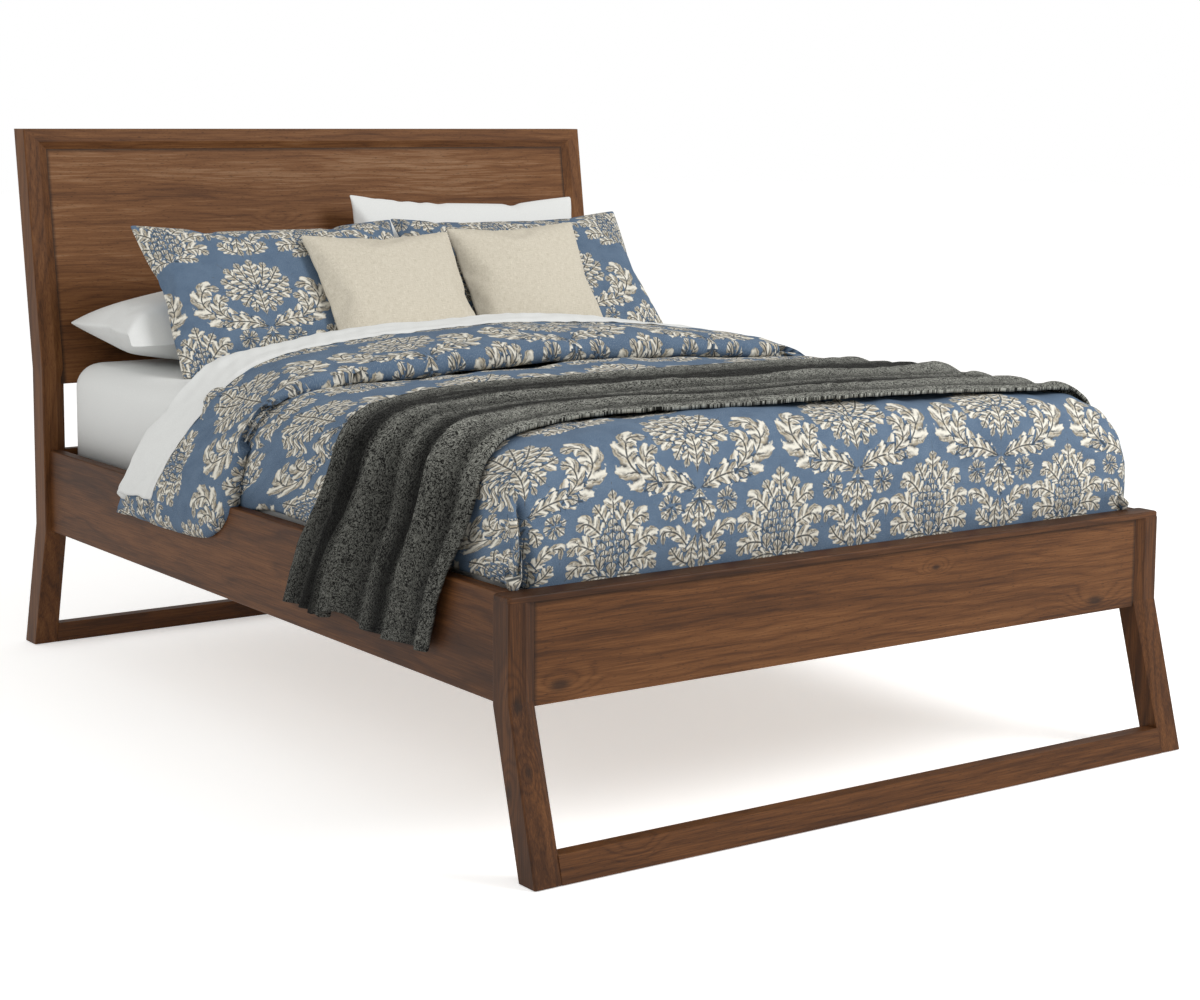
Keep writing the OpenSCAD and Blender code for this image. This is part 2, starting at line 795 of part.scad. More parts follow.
duvet_side = half_m + side_gap;
duvet_shoulder_w = 150;
duvet_side_z = rail_top + 140;
duvet_crown = 24;
tuck_z = rail_top + 8;
hang_side = rail_out + 32;
fold_shoulder_w = 250;
fold_crown = 44;

function duvet_top(d) = arch(duvet_side + d, tuck_z, duvet_side_z, duvet_shoulder_w,
    top_z + duvet_loft - duvet_crown + d, duvet_crown, side_gap - 14);

function fold_top(d, z_hem, tuck) = arch(hang_side + d, z_hem, rail_top, fold_shoulder_w,
    top_z + fold_loft - fold_crown + d, fold_crown, tuck);

// Rows of points: a profile at a place along the bed, its low parts shifted by a flare
function row(half, y, flare = 0) = [for (p = whole(half))
    [p[0], y + flare * max(0, top_z - p[1]), p[1]]];

// A profile drawn down towards a level
function sink(half, z, share) = [for (p = half) [p[0], mix(z, p[1], share)]];

// A profile lifted over the side rail, its lowest points kept in order
function lift(half) = [for (i = [0:len(half) - 1]) [half[i][0], max(half[i][1], rail_top + 6 + i)]];

over_rail_z = rail_top + 4;

// Layers between mattress and duvet
d_sheet = 2 * rest_gap + fitted_t;
d_duvet = d_sheet + flat_t + rest_gap;

duvet_y0 = foot_post_back + foot_room;
fold_y = head_rail_y - fold_from_head;
hem_y = fold_y - fold_l;
foot_hem_z = rail_top - 15;
hem_flare = 0.4;
fold_flare = 1.05;
fold_step = 4;

module duvet() {
    top = duvet_top(0);
    fold = fold_top(0, duvet_hem_z, 6);
    under = over_mattress(d_duvet, tuck_z);
    under_fold = over_rail(d_duvet, duvet_hem_z);
    face_y = mattress_y0 - d_duvet;
    upper = [
        row(sink(top, foot_hem_z, 0.03), duvet_y0 + 2),
        row(sink(top, foot_hem_z, 0.45), duvet_y0),
        row(sink(top, foot_hem_z, 0.78), duvet_y0 + 1),
        row(sink(top, foot_hem_z, 0.92), duvet_y0 + 14),
        row(sink(top, foot_hem_z, 0.975), duvet_y0 + 50),
        row(top, duvet_y0 + throw_start),
        row(top, hem_y - 60),
        row(top, hem_y - fold_step, hem_flare),
        row(lift(mix_lines(top, fold, 0.75)), hem_y, hem_flare),
        row(mix_lines(top, fold, 0.85), hem_y + fold_step, hem_flare),
        row(fold, hem_y + 40, hem_flare),
        row(fold, fold_y - 90, fold_flare * 0.8),
        row(mix_lines(fold, under_fold, 0.08), fold_y - 20, fold_flare),
        row(mix_lines(fold, under_fold, 0.35), fold_y, fold_flare)];
    lower = [
        row(sink(under, foot_hem_z, 0.03), face_y - 3),
        row(sink(under, foot_hem_z, 0.5), face_y - 2),
        row(sink(under, foot_hem_z, 0.80), face_y - 1),
        row(sink(under, foot_hem_z, 0.98), face_y),
        row(under, face_y + 5),
        row(under, duvet_y0 + throw_start),
        row(under, hem_y - 60),
        row(under, hem_y - fold_step, hem_flare),
        row(over_rail(d_duvet, over_rail_z), hem_y, hem_flare),
        row(under_fold, hem_y + fold_step, hem_flare),
        row(under_fold, hem_y + 40, hem_flare),
        row(under_fold, fold_y - 90, fold_flare * 0.8),
        row(under_fold, fold_y - 20, fold_flare),
        row(under_fold, fold_y, fold_flare)];
    color(blue) slab(upper, lower);
}

// The flat sheet runs under the duvet, round its fold and back over it as the turn-down
module flat_sheet() {
    // Room between the fold of the duvet and the sheet round it
    room = 4;
    run_y = duvet_y0 + throw_start;
    function facing(d) = over_rail(d_sheet + flat_t - d, sheet_hem_z);
    function top(d) = fold_top(d, sheet_hem_z, 0);
    inner = [
        row(over_mattress(d_sheet + flat_t, tuck_z), run_y),
        row(over_mattress(d_sheet + flat_t, tuck_z), hem_y - fold_step, hem_flare),
        row(over_rail(d_sheet + flat_t, over_rail_z), hem_y, hem_flare),
        row(facing(0), hem_y + fold_step, hem_flare),
        row(facing(0), fold_y - 90, fold_flare * 0.8),
        row(facing(0), fold_y + room, fold_flare),
        row(mix_lines(top(room), facing(0), 0.35), fold_y + room, fold_flare),
        row(mix_lines(top(room), facing(0), 0.08), fold_y - 20 + room, fold_flare),
        row(top(rest_gap), fold_y - 90, fold_flare * 0.8),
        row(top(rest_gap), fold_y - turn_down, fold_flare * 0.75)];
    outer = [
        row(over_mattress(d_sheet, tuck_z), run_y),
        row(over_mattress(d_sheet, tuck_z), hem_y - fold_step, hem_flare),
        row(over_rail(d_sheet, over_rail_z), hem_y, hem_flare),
        row(facing(flat_t), hem_y + fold_step, hem_flare),
        row(facing(flat_t), fold_y - 90, fold_flare * 0.8),
        row(facing(flat_t), fold_y + room + flat_t, fold_flare),
        row(mix_lines(top(room + flat_t), facing(0), 0.35), fold_y + room + 2 * flat_t, fold_flare),
        row(mix_lines(top(room + flat_t), facing(0), 0.08), fold_y - 20 + room + flat_t, fold_flare),
        row(top(rest_gap + flat_t), fold_y - 90, fold_flare * 0.8),
        row(top(rest_gap + flat_t), fold_y - turn_down, fold_flare * 0.75)];
    color(white) slab(inner, outer);
}

// The throw crosses the bed in lengthwise folds and hangs over both rails

// Share of the throw's width and height of the fold there, from its foot edge to its head edge
throw_folds = [[0, 0], [0.012, 0.5], [0.05, 0.75], [0.12, 0.3], [0.22, 0.05], [0.31, 0.45], [0.38, 0.1],
    [0.47, 0.2], [0.53, 1], [0.585, 0.15], [0.64, 0.8], [0.70, 0.1], [0.76, 0.6], [0.82, 0.1],
    [0.92, 0.15], [0.985, 0.3], [1, 0]];

throw_flare = 0.16;
throw_gap = 0.7;

function throw_half(d) = let (top = duvet_top(throw_gap + d))
    [for (i = [0:len(top) - 1])
        i == 0 ? [rail_out + 3 + d, throw_hem_z] :
        i == 1 ? [rail_out + 3 + d, rail_top + edge_r] : top[i]];

module throw_blanket() {
    y0 = duvet_y0 + throw_start;
    upper = [for (f = throw_folds)
        row(throw_half(throw_t * min(1, 0.5 + 20 * f[1]) + throw_ridge * f[1]),
            y0 + throw_fold_w * f[0], throw_flare)];
    lower = [for (f = throw_folds) row(throw_half(0), y0 + throw_fold_w * f[0], throw_flare)];
    color(grey) slab(upper, lower);
}

// Pillows, shams and cushions: crowned forms with drawn-in sides, flat where they rest

pillow_shares = [for (k = [-5:5]) sin(18 * k)];
seam_t = 5;

// A point on one face of a pillow, in its own plane, before it leans
function pillow_point(w, h, t, pull, u, v, side) = [
    w / 2 * u * (1 - pull * (1 - v * v)),
    h / 2 * v * (1 - pull * (1 - u * u)),
    side * (seam_t / 2 + (t - seam_t) / 2 * pow(max(0, (1 - u * u) * (1 - v * v)), 0.45))];

// Leans a point back from upright, turns it in its plane and moves it into place
function leaned(p, lean, roll, centre) = let (
    x = p[0] * cos(roll) - p[1] * sin(roll), h = p[0] * sin(roll) + p[1] * cos(roll))
    centre + [x, h * sin(lean) - p[2] * cos(lean), h * cos(lean) + p[2] * sin(lean)];

// Presses a point back behind planes, each given by a point and the normal of its free side
function pressed(p, planes, k = 0) = k == len(planes) ? p :
    let (n = planes[k][1], s = (p - planes[k][0]) * n) pressed(s < 0 ? p - n * s : p, planes, k + 1);

module pillow(w, h, t, pull, lean, roll, centre, planes) {
    function grid(side) = [for (v = pillow_shares) [for (u = pillow_shares)
        pressed(leaned(pillow_point(w, h, t, pull, u, v, side), lean, roll, centre), planes)]];
    slab(grid(1), grid(-1));
}

sheet_top = top_z + rest_gap + fitted_t;
bed_plane = [[0, 0, sheet_top + rest_gap], [0, 0, 1]];
board_lean = atan(lean_tan);
board_plane = [[0, head_rail_y - rest_gap, lean_z], [0, -cos(board_lean), sin(board_lean)]];
fold_plane = [[0, fold_y + 8, 0], [0, 1, 0]];

// Place on the bed where a sham's middle plane meets it
sham_left_foot = head_rail_y - sham_left_y;
sham_right_foot = head_rail_y - sham_right_y;
sham_up = [0, sin(sham_lean), cos(sham_lean)];
sham_front = [0, -cos(sham_lean), sin(sham_lean)];
sham_flat = 58;

// The plane a sham shares with what lies behind it, or with the cushion in front of it
function sham_plane(y, distance, side) = [[0, y, top_z] + distance * sham_front, side * sham_front];

module sham(x, y, roll) {
    color(blue) pillow(sham_w, sham_h, sham_t, 0.03, sham_lean, roll,
        [x, y, top_z] + sham_up * (sham_h / 2 - 5),
        [bed_plane, sham_plane(y, -sham_flat, 1), sham_plane(y, sham_flat, -1)]);
}

module cushion(x, y, roll) {
    middle = sham_flat + rest_gap + cushion_back;
    color(cream) pillow(cushion_w, cushion_h, cushion_t, 0.045, sham_lean, roll,
        [x, y, top_z] + middle * sham_front + sham_up * (cushion_h / 2 - 60),
        [bed_plane, fold_plane, sham_plane(y, sham_flat + rest_gap, 1)]);
}

module sham_left() {
    sham(-sham_w / 2 + 34, sham_left_foot, 0);
}

module sham_right() {
    sham(sham_w / 2 + 76, sham_right_foot, 0.6);
}

module cushion_left() {
    cushion(-cushion_w / 2 + 134, sham_left_foot, 0);
}

module cushion_right() {
    cushion(cushion_w / 2 + 169, sham_right_foot, 2);
}

// The left pillow lies flat behind the left sham
module pillow_left() {
    color(white) pillow(pillow_w, lying_pillow_h, pillow_t, 0.05, 90, 0,
        [-pillow_w / 2 - 30, head_rail_y - lying_pillow_h / 2 - 5, top_z + pillow_t / 2 - 3],
        [sham_plane(sham_left_foot, -sham_flat - rest_gap, -1), board_plane, bed_plane]);
}

// The right pillow stands against the headboard
module pillow_right() {
    lean = 10;
    color(white) pillow(pillow_w, pillow_h, pillow_t, 0.05, lean, -1.5,
        [pillow_w / 2 + 18, head_rail_y - 110, top_z - 25] + pillow_h / 2 * [0, sin(lean), cos(lean)],
        [sham_plane(sham_right_foot, -sham_flat - rest_gap, -1), board_plane, bed_plane]);
}

// Nodes

color(walnut) head_post();  // head_post_left
color(walnut) mirror([1, 0, 0]) head_post();  // head_post_right
headboard_top_rail();
headboard_board(1);  // headboard_board_1
headboard_board(2);  // headboard_board_2
headboard_board(3);  // headboard_board_3
headboard_board(4);  // headboard_board_4
lower_head_rail();
color(walnut) stretcher(head_y, head_splay, rail_bottom);  // head_stretcher
color(walnut) foot_post();  // foot_post_left
color(walnut) mirror([1, 0, 0]) foot_post();  // foot_post_right
footboard_panel();
footboard_cap();
color(walnut) stretcher(foot_y, -foot_splay, leg_h);  // foot_stretcher
side_rail();  // side_rail_left
mirror([1, 0, 0]) side_rail();  // side_rail_right
ledger();  // ledger_left
mirror([1, 0, 0]) ledger();  // ledger_right
slat(1);  // slat_01
slat(2);  // slat_02
slat(3);  // slat_03
slat(4);  // slat_04
slat(5);  // slat_05
slat(6);  // slat_06
slat(7);  // slat_07
slat(8);  // slat_08
slat(9);  // slat_09
slat(10);  // slat_10
slat(11);  // slat_11
slat(12);  // slat_12
slat(13);  // slat_13
centre_beam();
beam_hangers();
centre_leg();
threaded_insert();
levelling_foot();
floor_glides();
bed_hooks();
hook_receivers();
hook_screws();
ledger_screws();
slat_screws();
hanger_screws();
mattress();
fitted_sheet();
flat_sheet();
duvet();
throw_blanket();
pillow_left();
pillow_right();
sham_left();
sham_right();
cushion_left();
cushion_right();
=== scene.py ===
# %% [markdown]
# A walnut sled bed, dressed for the night
#
# The frame of this bed is finished joinery, so its CAD solids stay as they are and only get wood.
# Mattress, duvet, sheets, pillows and throw are soft: each of them is modelled here anew, in the
# space that its plain solid holds. Each cell makes one thing and says what it made.

import math

import bmesh
import bpy
import numpy as np
from mathutils import Matrix, Vector


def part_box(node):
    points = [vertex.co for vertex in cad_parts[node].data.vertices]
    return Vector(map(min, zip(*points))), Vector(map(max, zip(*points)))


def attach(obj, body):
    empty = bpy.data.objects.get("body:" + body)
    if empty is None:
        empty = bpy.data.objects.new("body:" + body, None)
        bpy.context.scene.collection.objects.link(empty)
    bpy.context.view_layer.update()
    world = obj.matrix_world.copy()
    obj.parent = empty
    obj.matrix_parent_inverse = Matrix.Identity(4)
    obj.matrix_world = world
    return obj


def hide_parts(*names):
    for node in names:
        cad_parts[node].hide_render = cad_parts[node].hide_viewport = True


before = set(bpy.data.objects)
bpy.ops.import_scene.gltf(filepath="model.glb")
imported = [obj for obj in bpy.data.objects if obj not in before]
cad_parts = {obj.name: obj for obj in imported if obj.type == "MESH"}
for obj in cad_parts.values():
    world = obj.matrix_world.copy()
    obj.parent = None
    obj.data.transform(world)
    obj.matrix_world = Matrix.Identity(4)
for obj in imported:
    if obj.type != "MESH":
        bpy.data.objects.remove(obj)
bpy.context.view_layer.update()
BODY = "bed"

# %% [markdown]
# The camera comes first. It stands left of the foot of the bed, a little above the headboard's top,
# and looks down at seven degrees. The verticals of the photograph hardly converge, which a shifted
# lens gives, so the frame is shifted down a little instead of tilting the camera more.

# %% Camera
CAMERA_PLACE = (-3.0098, -4.4634, 1.3508)
CAMERA_YAW = 35.128
CAMERA_PITCH = -7.057
CAMERA_ROLL = 0.36
LENS_MM = 70.69
SENSOR_MM = 36
SHIFT_Y = -0.0833


def make_camera():
    camera = bpy.data.objects.new("camera", bpy.data.cameras.new("camera"))
    bpy.context.scene.collection.objects.link(camera)
    camera.data.sensor_width = SENSOR_MM
    camera.data.lens = LENS_MM
    camera.data.shift_y = SHIFT_Y
    turn = Matrix.Rotation(math.radians(-CAMERA_YAW), 4, "Z")
    lift = Matrix.Rotation(math.radians(90 + CAMERA_PITCH), 4, "X")
    roll = Matrix.Rotation(math.radians(CAMERA_ROLL), 4, "Z")
    camera.matrix_world = Matrix.Translation(CAMERA_PLACE) @ turn @ lift @ roll
    bpy.context.scene.camera = camera


make_camera()
print("camera at", CAMERA_PLACE, "with a lens of", LENS_MM, "mm")

# %% [markdown]
# A few helpers serve every material. Colours are written as sRGB hex values, as one reads them off a
# colour card, and Blender wants them linear. Nodes could be added with four lines each, but one
# function that takes settings and links keeps a material as short as its idea. Long sums are written
# as tables of steps instead, and a loop makes a node of each row, so a pattern reads like a recipe.

# %% Colours and nodes


def linear(code):
    channels = [int(code[i : i + 2], 16) / 255 for i in (1, 3, 5)]
    return [c / 12.92 if c <= 0.04045 else ((c + 0.055) / 1.055) ** 2.4 for c in channels] + [1.0]


def add(tree, kind, settings=None, **inputs):
    """Adds a node. Settings are its properties; inputs are values, or sockets to link from."""
    node = tree.nodes.new("ShaderNode" + kind)
    for name, value in (settings or {}).items():
        setattr(node, name, value)
    for name, value in inputs.items():
        socket = node.inputs[int(name[1:])] if name[0] == "i" and name[1:].isdigit() else None
        if socket is None:
            label = name.replace("_", " ").lower()
            socket = next(s for s in node.inputs if s.name.lower() == label and s.enabled)
        if isinstance(value, bpy.types.NodeSocket):
            tree.links.new(value, socket)
        else:
            socket.default_value = value
    return node


def new_material(name):
    material = bpy.data.materials.new(name)
    material.use_nodes = True
    material.node_tree.nodes.clear()
    return material, material.node_tree


def work_out(tree, known, steps):
    """Adds a node for each row of a table: name, operation and values, where a word stands for what
    an earlier row made. The results are kept in known."""
    for name, operation, *values in steps:
        inputs = {"i%d" % k: known.get(value, value) for k, value in enumerate(values)}
        if operation == "SMOOTHSTEP":
            node = add(tree, "MapRange", {"interpolation_type": operation}, **inputs)
        else:
            settings = {"operation": operation, "use_clamp": operation == "POWER"}
            node = add(tree, "Math", settings, **inputs)
        known[name] = node.outputs[0]


print("linear grey of #808080:", round(linear("#808080")[0], 4))

# %% [markdown]
# The stage is a studio sweep: a floor that reads as white but still takes the soft shadow of the
# legs, a world that lights evenly, one large lamp from the right of the foot and a weak one from
# the left. A picture of a real sky could light it too, but it would tint the white bedding. Colours
# then come out about as they are written.

# %% Floor, world and lamps
FLOOR_SIZE = 60
FLOOR_WHITE = (0.93, 0.93, 0.93, 1)
FLOOR_GLOW = 0.46
SKY_STRENGTH = 0.66
KEY_WATTS = 185
FILL_WATTS = 36
LAMP_SIZE = 3.0


def make_floor():
    bm = bmesh.new()
    bmesh.ops.create_grid(bm, x_segments=1, y_segments=1, size=FLOOR_SIZE / 2)
    mesh = bpy.data.meshes.new("floor")
    bm.to_mesh(mesh)
    bm.free()
    floor = bpy.data.objects.new("floor", mesh)
    bpy.context.scene.collection.objects.link(floor)
    material, tree = new_material("studio_floor")
    path = add(tree, "LightPath")
    matt = add(tree, "BsdfDiffuse", Color=FLOOR_WHITE)
    glow = add(tree, "Emission", Color=(1, 1, 1, 1), Strength=FLOOR_GLOW)
    shown = add(tree, "AddShader", i0=matt.outputs[0], i1=glow.outputs[0])
    either = add(tree, "Math", {"operation": "MAXIMUM"}, i0=path.outputs["Is Camera Ray"],
                 i1=path.outputs["Is Glossy Ray"])
    surface = add(tree, "MixShader", i0=either.outputs[0], i1=matt.outputs[0], i2=shown.outputs[0])
    add(tree, "OutputMaterial", Surface=surface.outputs[0])
    mesh.materials.append(material)


def make_world():
    world = bpy.data.worlds.new("studio")
    world.use_nodes = True
    tree = world.node_tree
    tree.nodes.clear()
    path = add(tree, "LightPath")
    seen = add(tree, "Math", {"operation": "MAXIMUM"}, i0=path.outputs["Is Camera Ray"],
               i1=path.outputs["Is Transmission Ray"])
    lit = add(tree, "Background", Color=linear("#f8f7f4"), Strength=SKY_STRENGTH)
    white = add(tree, "Background", Color=(1, 1, 1, 1), Strength=1.0)
    both = add(tree, "MixShader", i0=seen.outputs[0], i1=lit.outputs[0], i2=white.outputs[0])
    add(tree, "OutputWorld", Surface=both.outputs[0])
    bpy.context.scene.world = world


def make_lamp(name, place, target, watts):
    lamp = bpy.data.lights.new(name, "AREA")
    lamp.shape = "DISK"
    lamp.size = LAMP_SIZE
    lamp.energy = watts
    obj = bpy.data.objects.new(name, lamp)
    bpy.context.scene.collection.objects.link(obj)
    away = Vector(place) - Vector(target)
    obj.matrix_world = Matrix.Translation(place) @ away.to_track_quat("Z", "Y").to_matrix().to_4x4()


make_floor()
make_world()
make_lamp("key", (2.6, -4.2, 3.8), (0, 0, 0.5), KEY_WATTS)
make_lamp("fill", (-4.2, -0.8, 2.6), (0, 0.2, 0.6), FILL_WATTS)
bpy.context.scene.view_settings.view_transform = "Standard"
print("stage: floor of", FLOOR_SIZE, "m, lamps of", KEY_WATTS, "and", FILL_WATTS, "W")

# %% [markdown]
# The frame is black walnut, planed, sanded and oiled to a satin sheen. The eye knows it by four things
# of different size: broad dark and light streaks along the grain, wavy growth rings where a board was
# cut flat, short dark pores, and knots that the rings flow round. A photograph of boards could be
# wrapped round the pieces, but it would run the wrong way on some and repeat on others. A pattern in
# space does neither. Each board gets its own part of one tree by shifting the pattern, and the pattern
# is turned to the way the board was cut.

# %% The grain of walnut
GRAIN_TURN = {"x": (0, 0, 0), "y": (0, 0, -math.pi / 2), "z": (0, math.pi / 2, 0)}
NEXT_BOARD = (1.7, 0.083, 0.031)  # metres from one board to the next within the tree
GRAIN_NOISES = (  # how many to a metre along and across the grain, and their detail
    ("figure", (1.3, 6, 6), 3),  # clouds of 170 mm
    ("streak", (1.3, 26, 26), 6),  # streaks 38 mm wide
    ("fibre", (10, 380, 380), 3),  # fibres 2.6 mm wide, the finest that still shows
    ("pore", (75, 620, 620), 1),  # pores 13 mm long and 1.6 mm wide, drawn coarser than real ones
)
HEART_LINE = (0, 0.06, 0.12)  # the middle of the tree, beside the boards
HEART_SQUASH = (0.02, 1, 1)
GRAIN_STEPS = [  # distance from the heart, bent by the figure and round the knots, makes the rings
    ("bent", "MULTIPLY_ADD", "figure", 0.12, "from_heart"),
    ("flowing", "MULTIPLY_ADD", "swirl", 0.05, "bent"),
    ("ring_count", "MULTIPLY", "flowing", 120),  # up and down again is a ring, so one each 17 mm
    ("ring_way", "PINGPONG", "ring_count", 1.0),
    ("ring", "POWER", "ring_way", 2.5),
    ("streaky", "MULTIPLY", "streak", 0.50),
    ("figured", "MULTIPLY_ADD", "figure", 0.45, "streaky"),
    ("ringed", "MULTIPLY_ADD", "ring", -0.11, "figured"),
    ("tone", "MULTIPLY_ADD", "fibre", 0.50, "ringed"),
]
TONE_RANGE = (0.335, 1.045)
WALNUT_TONES = (
    (0.001, "#2a170b"),
    (0.30, "#462a16"),
    (0.52, "#603c20"),
    (0.74, "#764e2d"),
    (0.999, "#937052"),
)
print("noises of the grain:", ", ".join(kind for kind, _, _ in GRAIN_NOISES))

# %% [markdown]
# A knot is where a branch left the trunk. It could be a dark dot, but the rings of a real board flow
# round it, and that is what the eye expects. So each knot gives two shares: a wide one that pushes the
# rings aside, and a narrow one for its dark core. Both are wobbled by the fibres.

# %% Knots and tone of a board
KNOT_SQUASH = {"x": (0.45, 1, 1), "y": (1, 0.45, 1), "z": (1, 1, 0.45)}
KNOT_WOBBLE = 0.5  # this and the next three in radii of the knot
SWIRL_REACH = 4.5
CORE_EDGE, CORE_FULL = 1.6, 0.5


def add_knots(tree, known, grain, knots):
    """Where the rings swirl round a knot and where its dark core is, added up over the knots."""
    known.update(swirl=0.0, core=0.0)
    for centre, radius in knots:
        away = add(tree, "VectorMath", {"operation": "SUBTRACT"}, i0=known["where"], i1=centre)
        near = add(tree, "VectorMath", {"operation": "MULTIPLY"}, i0=away.outputs[0], i1=KNOT_SQUASH[grain])
        known["far"] = add(tree, "VectorMath", {"operation": "LENGTH"}, i0=near.outputs[0]).outputs["Value"]
        work_out(tree, known, [
            ("wobbly", "MULTIPLY_ADD", "fibre", KNOT_WOBBLE * radius, "far"),
            ("this_swirl", "SMOOTHSTEP", "wobbly", SWIRL_REACH * radius, 0.0),
            ("this_core", "SMOOTHSTEP", "wobbly", CORE_EDGE * radius, CORE_FULL * radius),
            ("swirl", "ADD", "swirl", "this_swirl"),
            ("core", "ADD", "core", "this_core"),
        ])


def grain_fields(tree, grain, seed, knots):
    """The noises of one board, its knots and its tone, each as a socket with a name."""
    where = add(tree, "TexCoord").outputs["Object"]
    turned = add(tree, "Mapping", Vector=where, Rotation=GRAIN_TURN[grain]).outputs[0]
    shift = [seed * step for step in NEXT_BOARD]
    board = add(tree, "Mapping", Vector=turned, Location=shift).outputs[0]
    known = {"where": where}
    for kind, stretch, detail in GRAIN_NOISES:
        stretched = add(tree, "Mapping", Vector=board, Scale=stretch).outputs[0]
        noise = add(tree, "TexNoise", Vector=stretched, Scale=1, Detail=detail, Roughness=0.6)
        known[kind] = noise.outputs[0]
    add_knots(tree, known, grain, knots)
    heart = add(tree, "VectorMath", {"operation": "MULTIPLY_ADD"}, i0=board, i1=HEART_SQUASH, i2=HEART_LINE)
    far = add(tree, "VectorMath", {"operation": "LENGTH"}, i0=heart.outputs[0])
    known["from_heart"] = far.outputs["Value"]
    work_out(tree, known, GRAIN_STEPS)
    return known


print("a knot bends the rings within", SWIRL_REACH, "times its radius")

# %% [markdown]
# The headboard's boards and the footboard's panel sit in grooves, and the edge of a groove lies in
# shadow. That dark line could be modelled as a gap, but the joint is closed, so it is painted shade
# that the material puts along the frame: at the posts' inner faces and under the rail above.

# %% Walnut
PAINTED_SHADE_WIDTH = 0.009
SET_IN = {"headboard_board_%d" % k: ("head_post_left", "headboard_top_rail") for k in range(1, 5)}
SET_IN["footboard_panel"] = ("foot_post_left", "footboard_cap")


def painted_groove_shade(tree, where, name):
    """Painted shade of the groove: one at the frame that a board is set in, falling to nothing within the
    shade's width.
    """
    post, rail = [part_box(piece) for piece in SET_IN[name]]
    half, top = -post[1].x, rail[0].z
    axes = add(tree, "SeparateXYZ", Vector=where).outputs
    known = {"x": axes["X"]}
    work_out(tree, known, [("across", "ABSOLUTE", "x")])
    post_side = add(tree, "MapRange", i0=known["across"], i1=half - PAINTED_SHADE_WIDTH, i2=half)
    rail_side = add(tree, "MapRange", i0=axes["Z"], i1=top - PAINTED_SHADE_WIDTH, i2=top)
    known.update(post_side=post_side.outputs[0], rail_side=rail_side.outputs[0])
    work_out(tree, known, [
        ("either", "MAXIMUM", "post_side", "rail_side"),
        ("shade", "MULTIPLY", "either", 0.85),
    ])
    return known["shade"]


def walnut(name, grain, seed, dark=0.0, knots=()):
    """grain is the board's long axis. dark shifts the board's tone. Each knot is a place and a radius."""
    material, tree = new_material("oiled_walnut_" + name)
    known = grain_fields(tree, grain, seed, knots)
    low, high = [end + dark for end in TONE_RANGE]
    place = add(tree, "MapRange", i0=known["tone"], i1=low, i2=high).outputs[0]
    ramp = add(tree, "ValToRGB", Fac=place)
    for at, code in WALNUT_TONES:
        stop = ramp.color_ramp.elements.new(at)
        stop.color = linear(code)
    ramp.color_ramp.elements.remove(ramp.color_ramp.elements[-1])
    ramp.color_ramp.elements.remove(ramp.color_ramp.elements[0])
    flecks = add(tree, "MapRange", i0=known["pore"], i1=0.62, i2=0.72, i3=0.0, i4=0.55).outputs[0]
    colour = add(tree, "MixRGB", Fac=flecks, Color1=ramp.outputs[0], Color2=linear("#2a1a11")).outputs[0]
    known["pores"] = flecks
    work_out(tree, known, [
        ("knot", "MULTIPLY", "core", 0.8),
        ("relief", "SUBTRACT", "fibre", "pores"),
    ])
    colour = add(tree, "MixRGB", Fac=known["knot"], Color1=colour, Color2=linear("#241812")).outputs[0]
    # painted shade of the groove along the frame darkens the board towards #1c110a
    if name in SET_IN:
        shade = painted_groove_shade(tree, known["where"], name)
        colour = add(tree, "MixRGB", Fac=shade, Color1=colour, Color2=linear("#1c110a")).outputs[0]
    bump = add(tree, "Bump", Strength=0.35, Distance=0.0006, Height=known["relief"])
    shader = add(tree, "BsdfPrincipled", Base_Color=colour, Roughness=0.52, Normal=bump.outputs[0])
    shader.inputs["Specular IOR Level"].default_value = 0.18
    add(tree, "OutputMaterial", Surface=shader.outputs[0])
    return material


print("walnut runs from", WALNUT_TONES[0][1], "to", WALNUT_TONES[-1][1])

# %% [markdown]
# Every board is told its long axis, its part of the tree, how much darker it is than the usual, and
# its knots, each at its place on the bed in metres.

# %% Boards of walnut
PANEL_KNOTS = [
    ((0.192, -1.078, 0.449), 0.006),
    ((0.650, -1.078, 0.329), 0.012),
    ((-0.711, -1.078, 0.334), 0.012),
]
LEG_KNOTS = [
    ((-0.807, -1.089, 0.312), 0.010),
    ((-0.804, -1.117, 0.196), 0.008),
    ((-0.825, -1.088, 0.156), 0.009),
]
WALNUT_PIECES = {  # piece: grain, seed, tone, knots
    "head_post_left": ("z", 1, 0.02, ()),
    "head_post_right": ("z", 2, -0.02, ()),
    "headboard_top_rail": ("x", 3, -0.08, [((-0.568, 1.073, 1.230), 0.012)]),
    "headboard_board_1": ("x", 4, -0.14, ()),
    "headboard_board_2": ("x", 5, -0.11, [((-0.148, 1.063, 1.056), 0.010)]),
    "headboard_board_3": ("x", 6, -0.08, ()),
    "headboard_board_4": ("x", 7, -0.05, ()),
    "lower_head_rail": ("x", 8, 0.05, ()),
    "head_stretcher": ("x", 9, 0.08, ()),
    "foot_post_left": ("z", 10, 0.15, LEG_KNOTS),
    "foot_post_right": ("z", 11, 0.09, ()),
    "footboard_panel": ("x", 12, 0.00, PANEL_KNOTS),
    "footboard_cap": ("x", 13, 0.17, ()),
    "foot_stretcher": ("x", 14, 0.07, [((-0.598, -1.147, 0.037), 0.010)]),
    "side_rail_left": ("y", 15, 0.08, ()),
    "side_rail_right": ("y", 16, 0.08, ()),
}


def dress(name, material):
    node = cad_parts[name]
    node.data.materials.clear()
    node.data.materials.append(material)


for name, (grain, seed, tone, knots) in WALNUT_PIECES.items():
    dress(name, walnut(name, grain, seed, tone, knots))
print("walnut pieces:", len(WALNUT_PIECES))

# %% [markdown]
# What carries the mattress is hardly seen: planed pine, black powder-coated hangers, zinc-plated screws
# and plates, and felt under the legs. Bare zinc is a metal, the others are not. Only the pine has a
# pattern, because from below one sees its slats as broad stripes of grain.

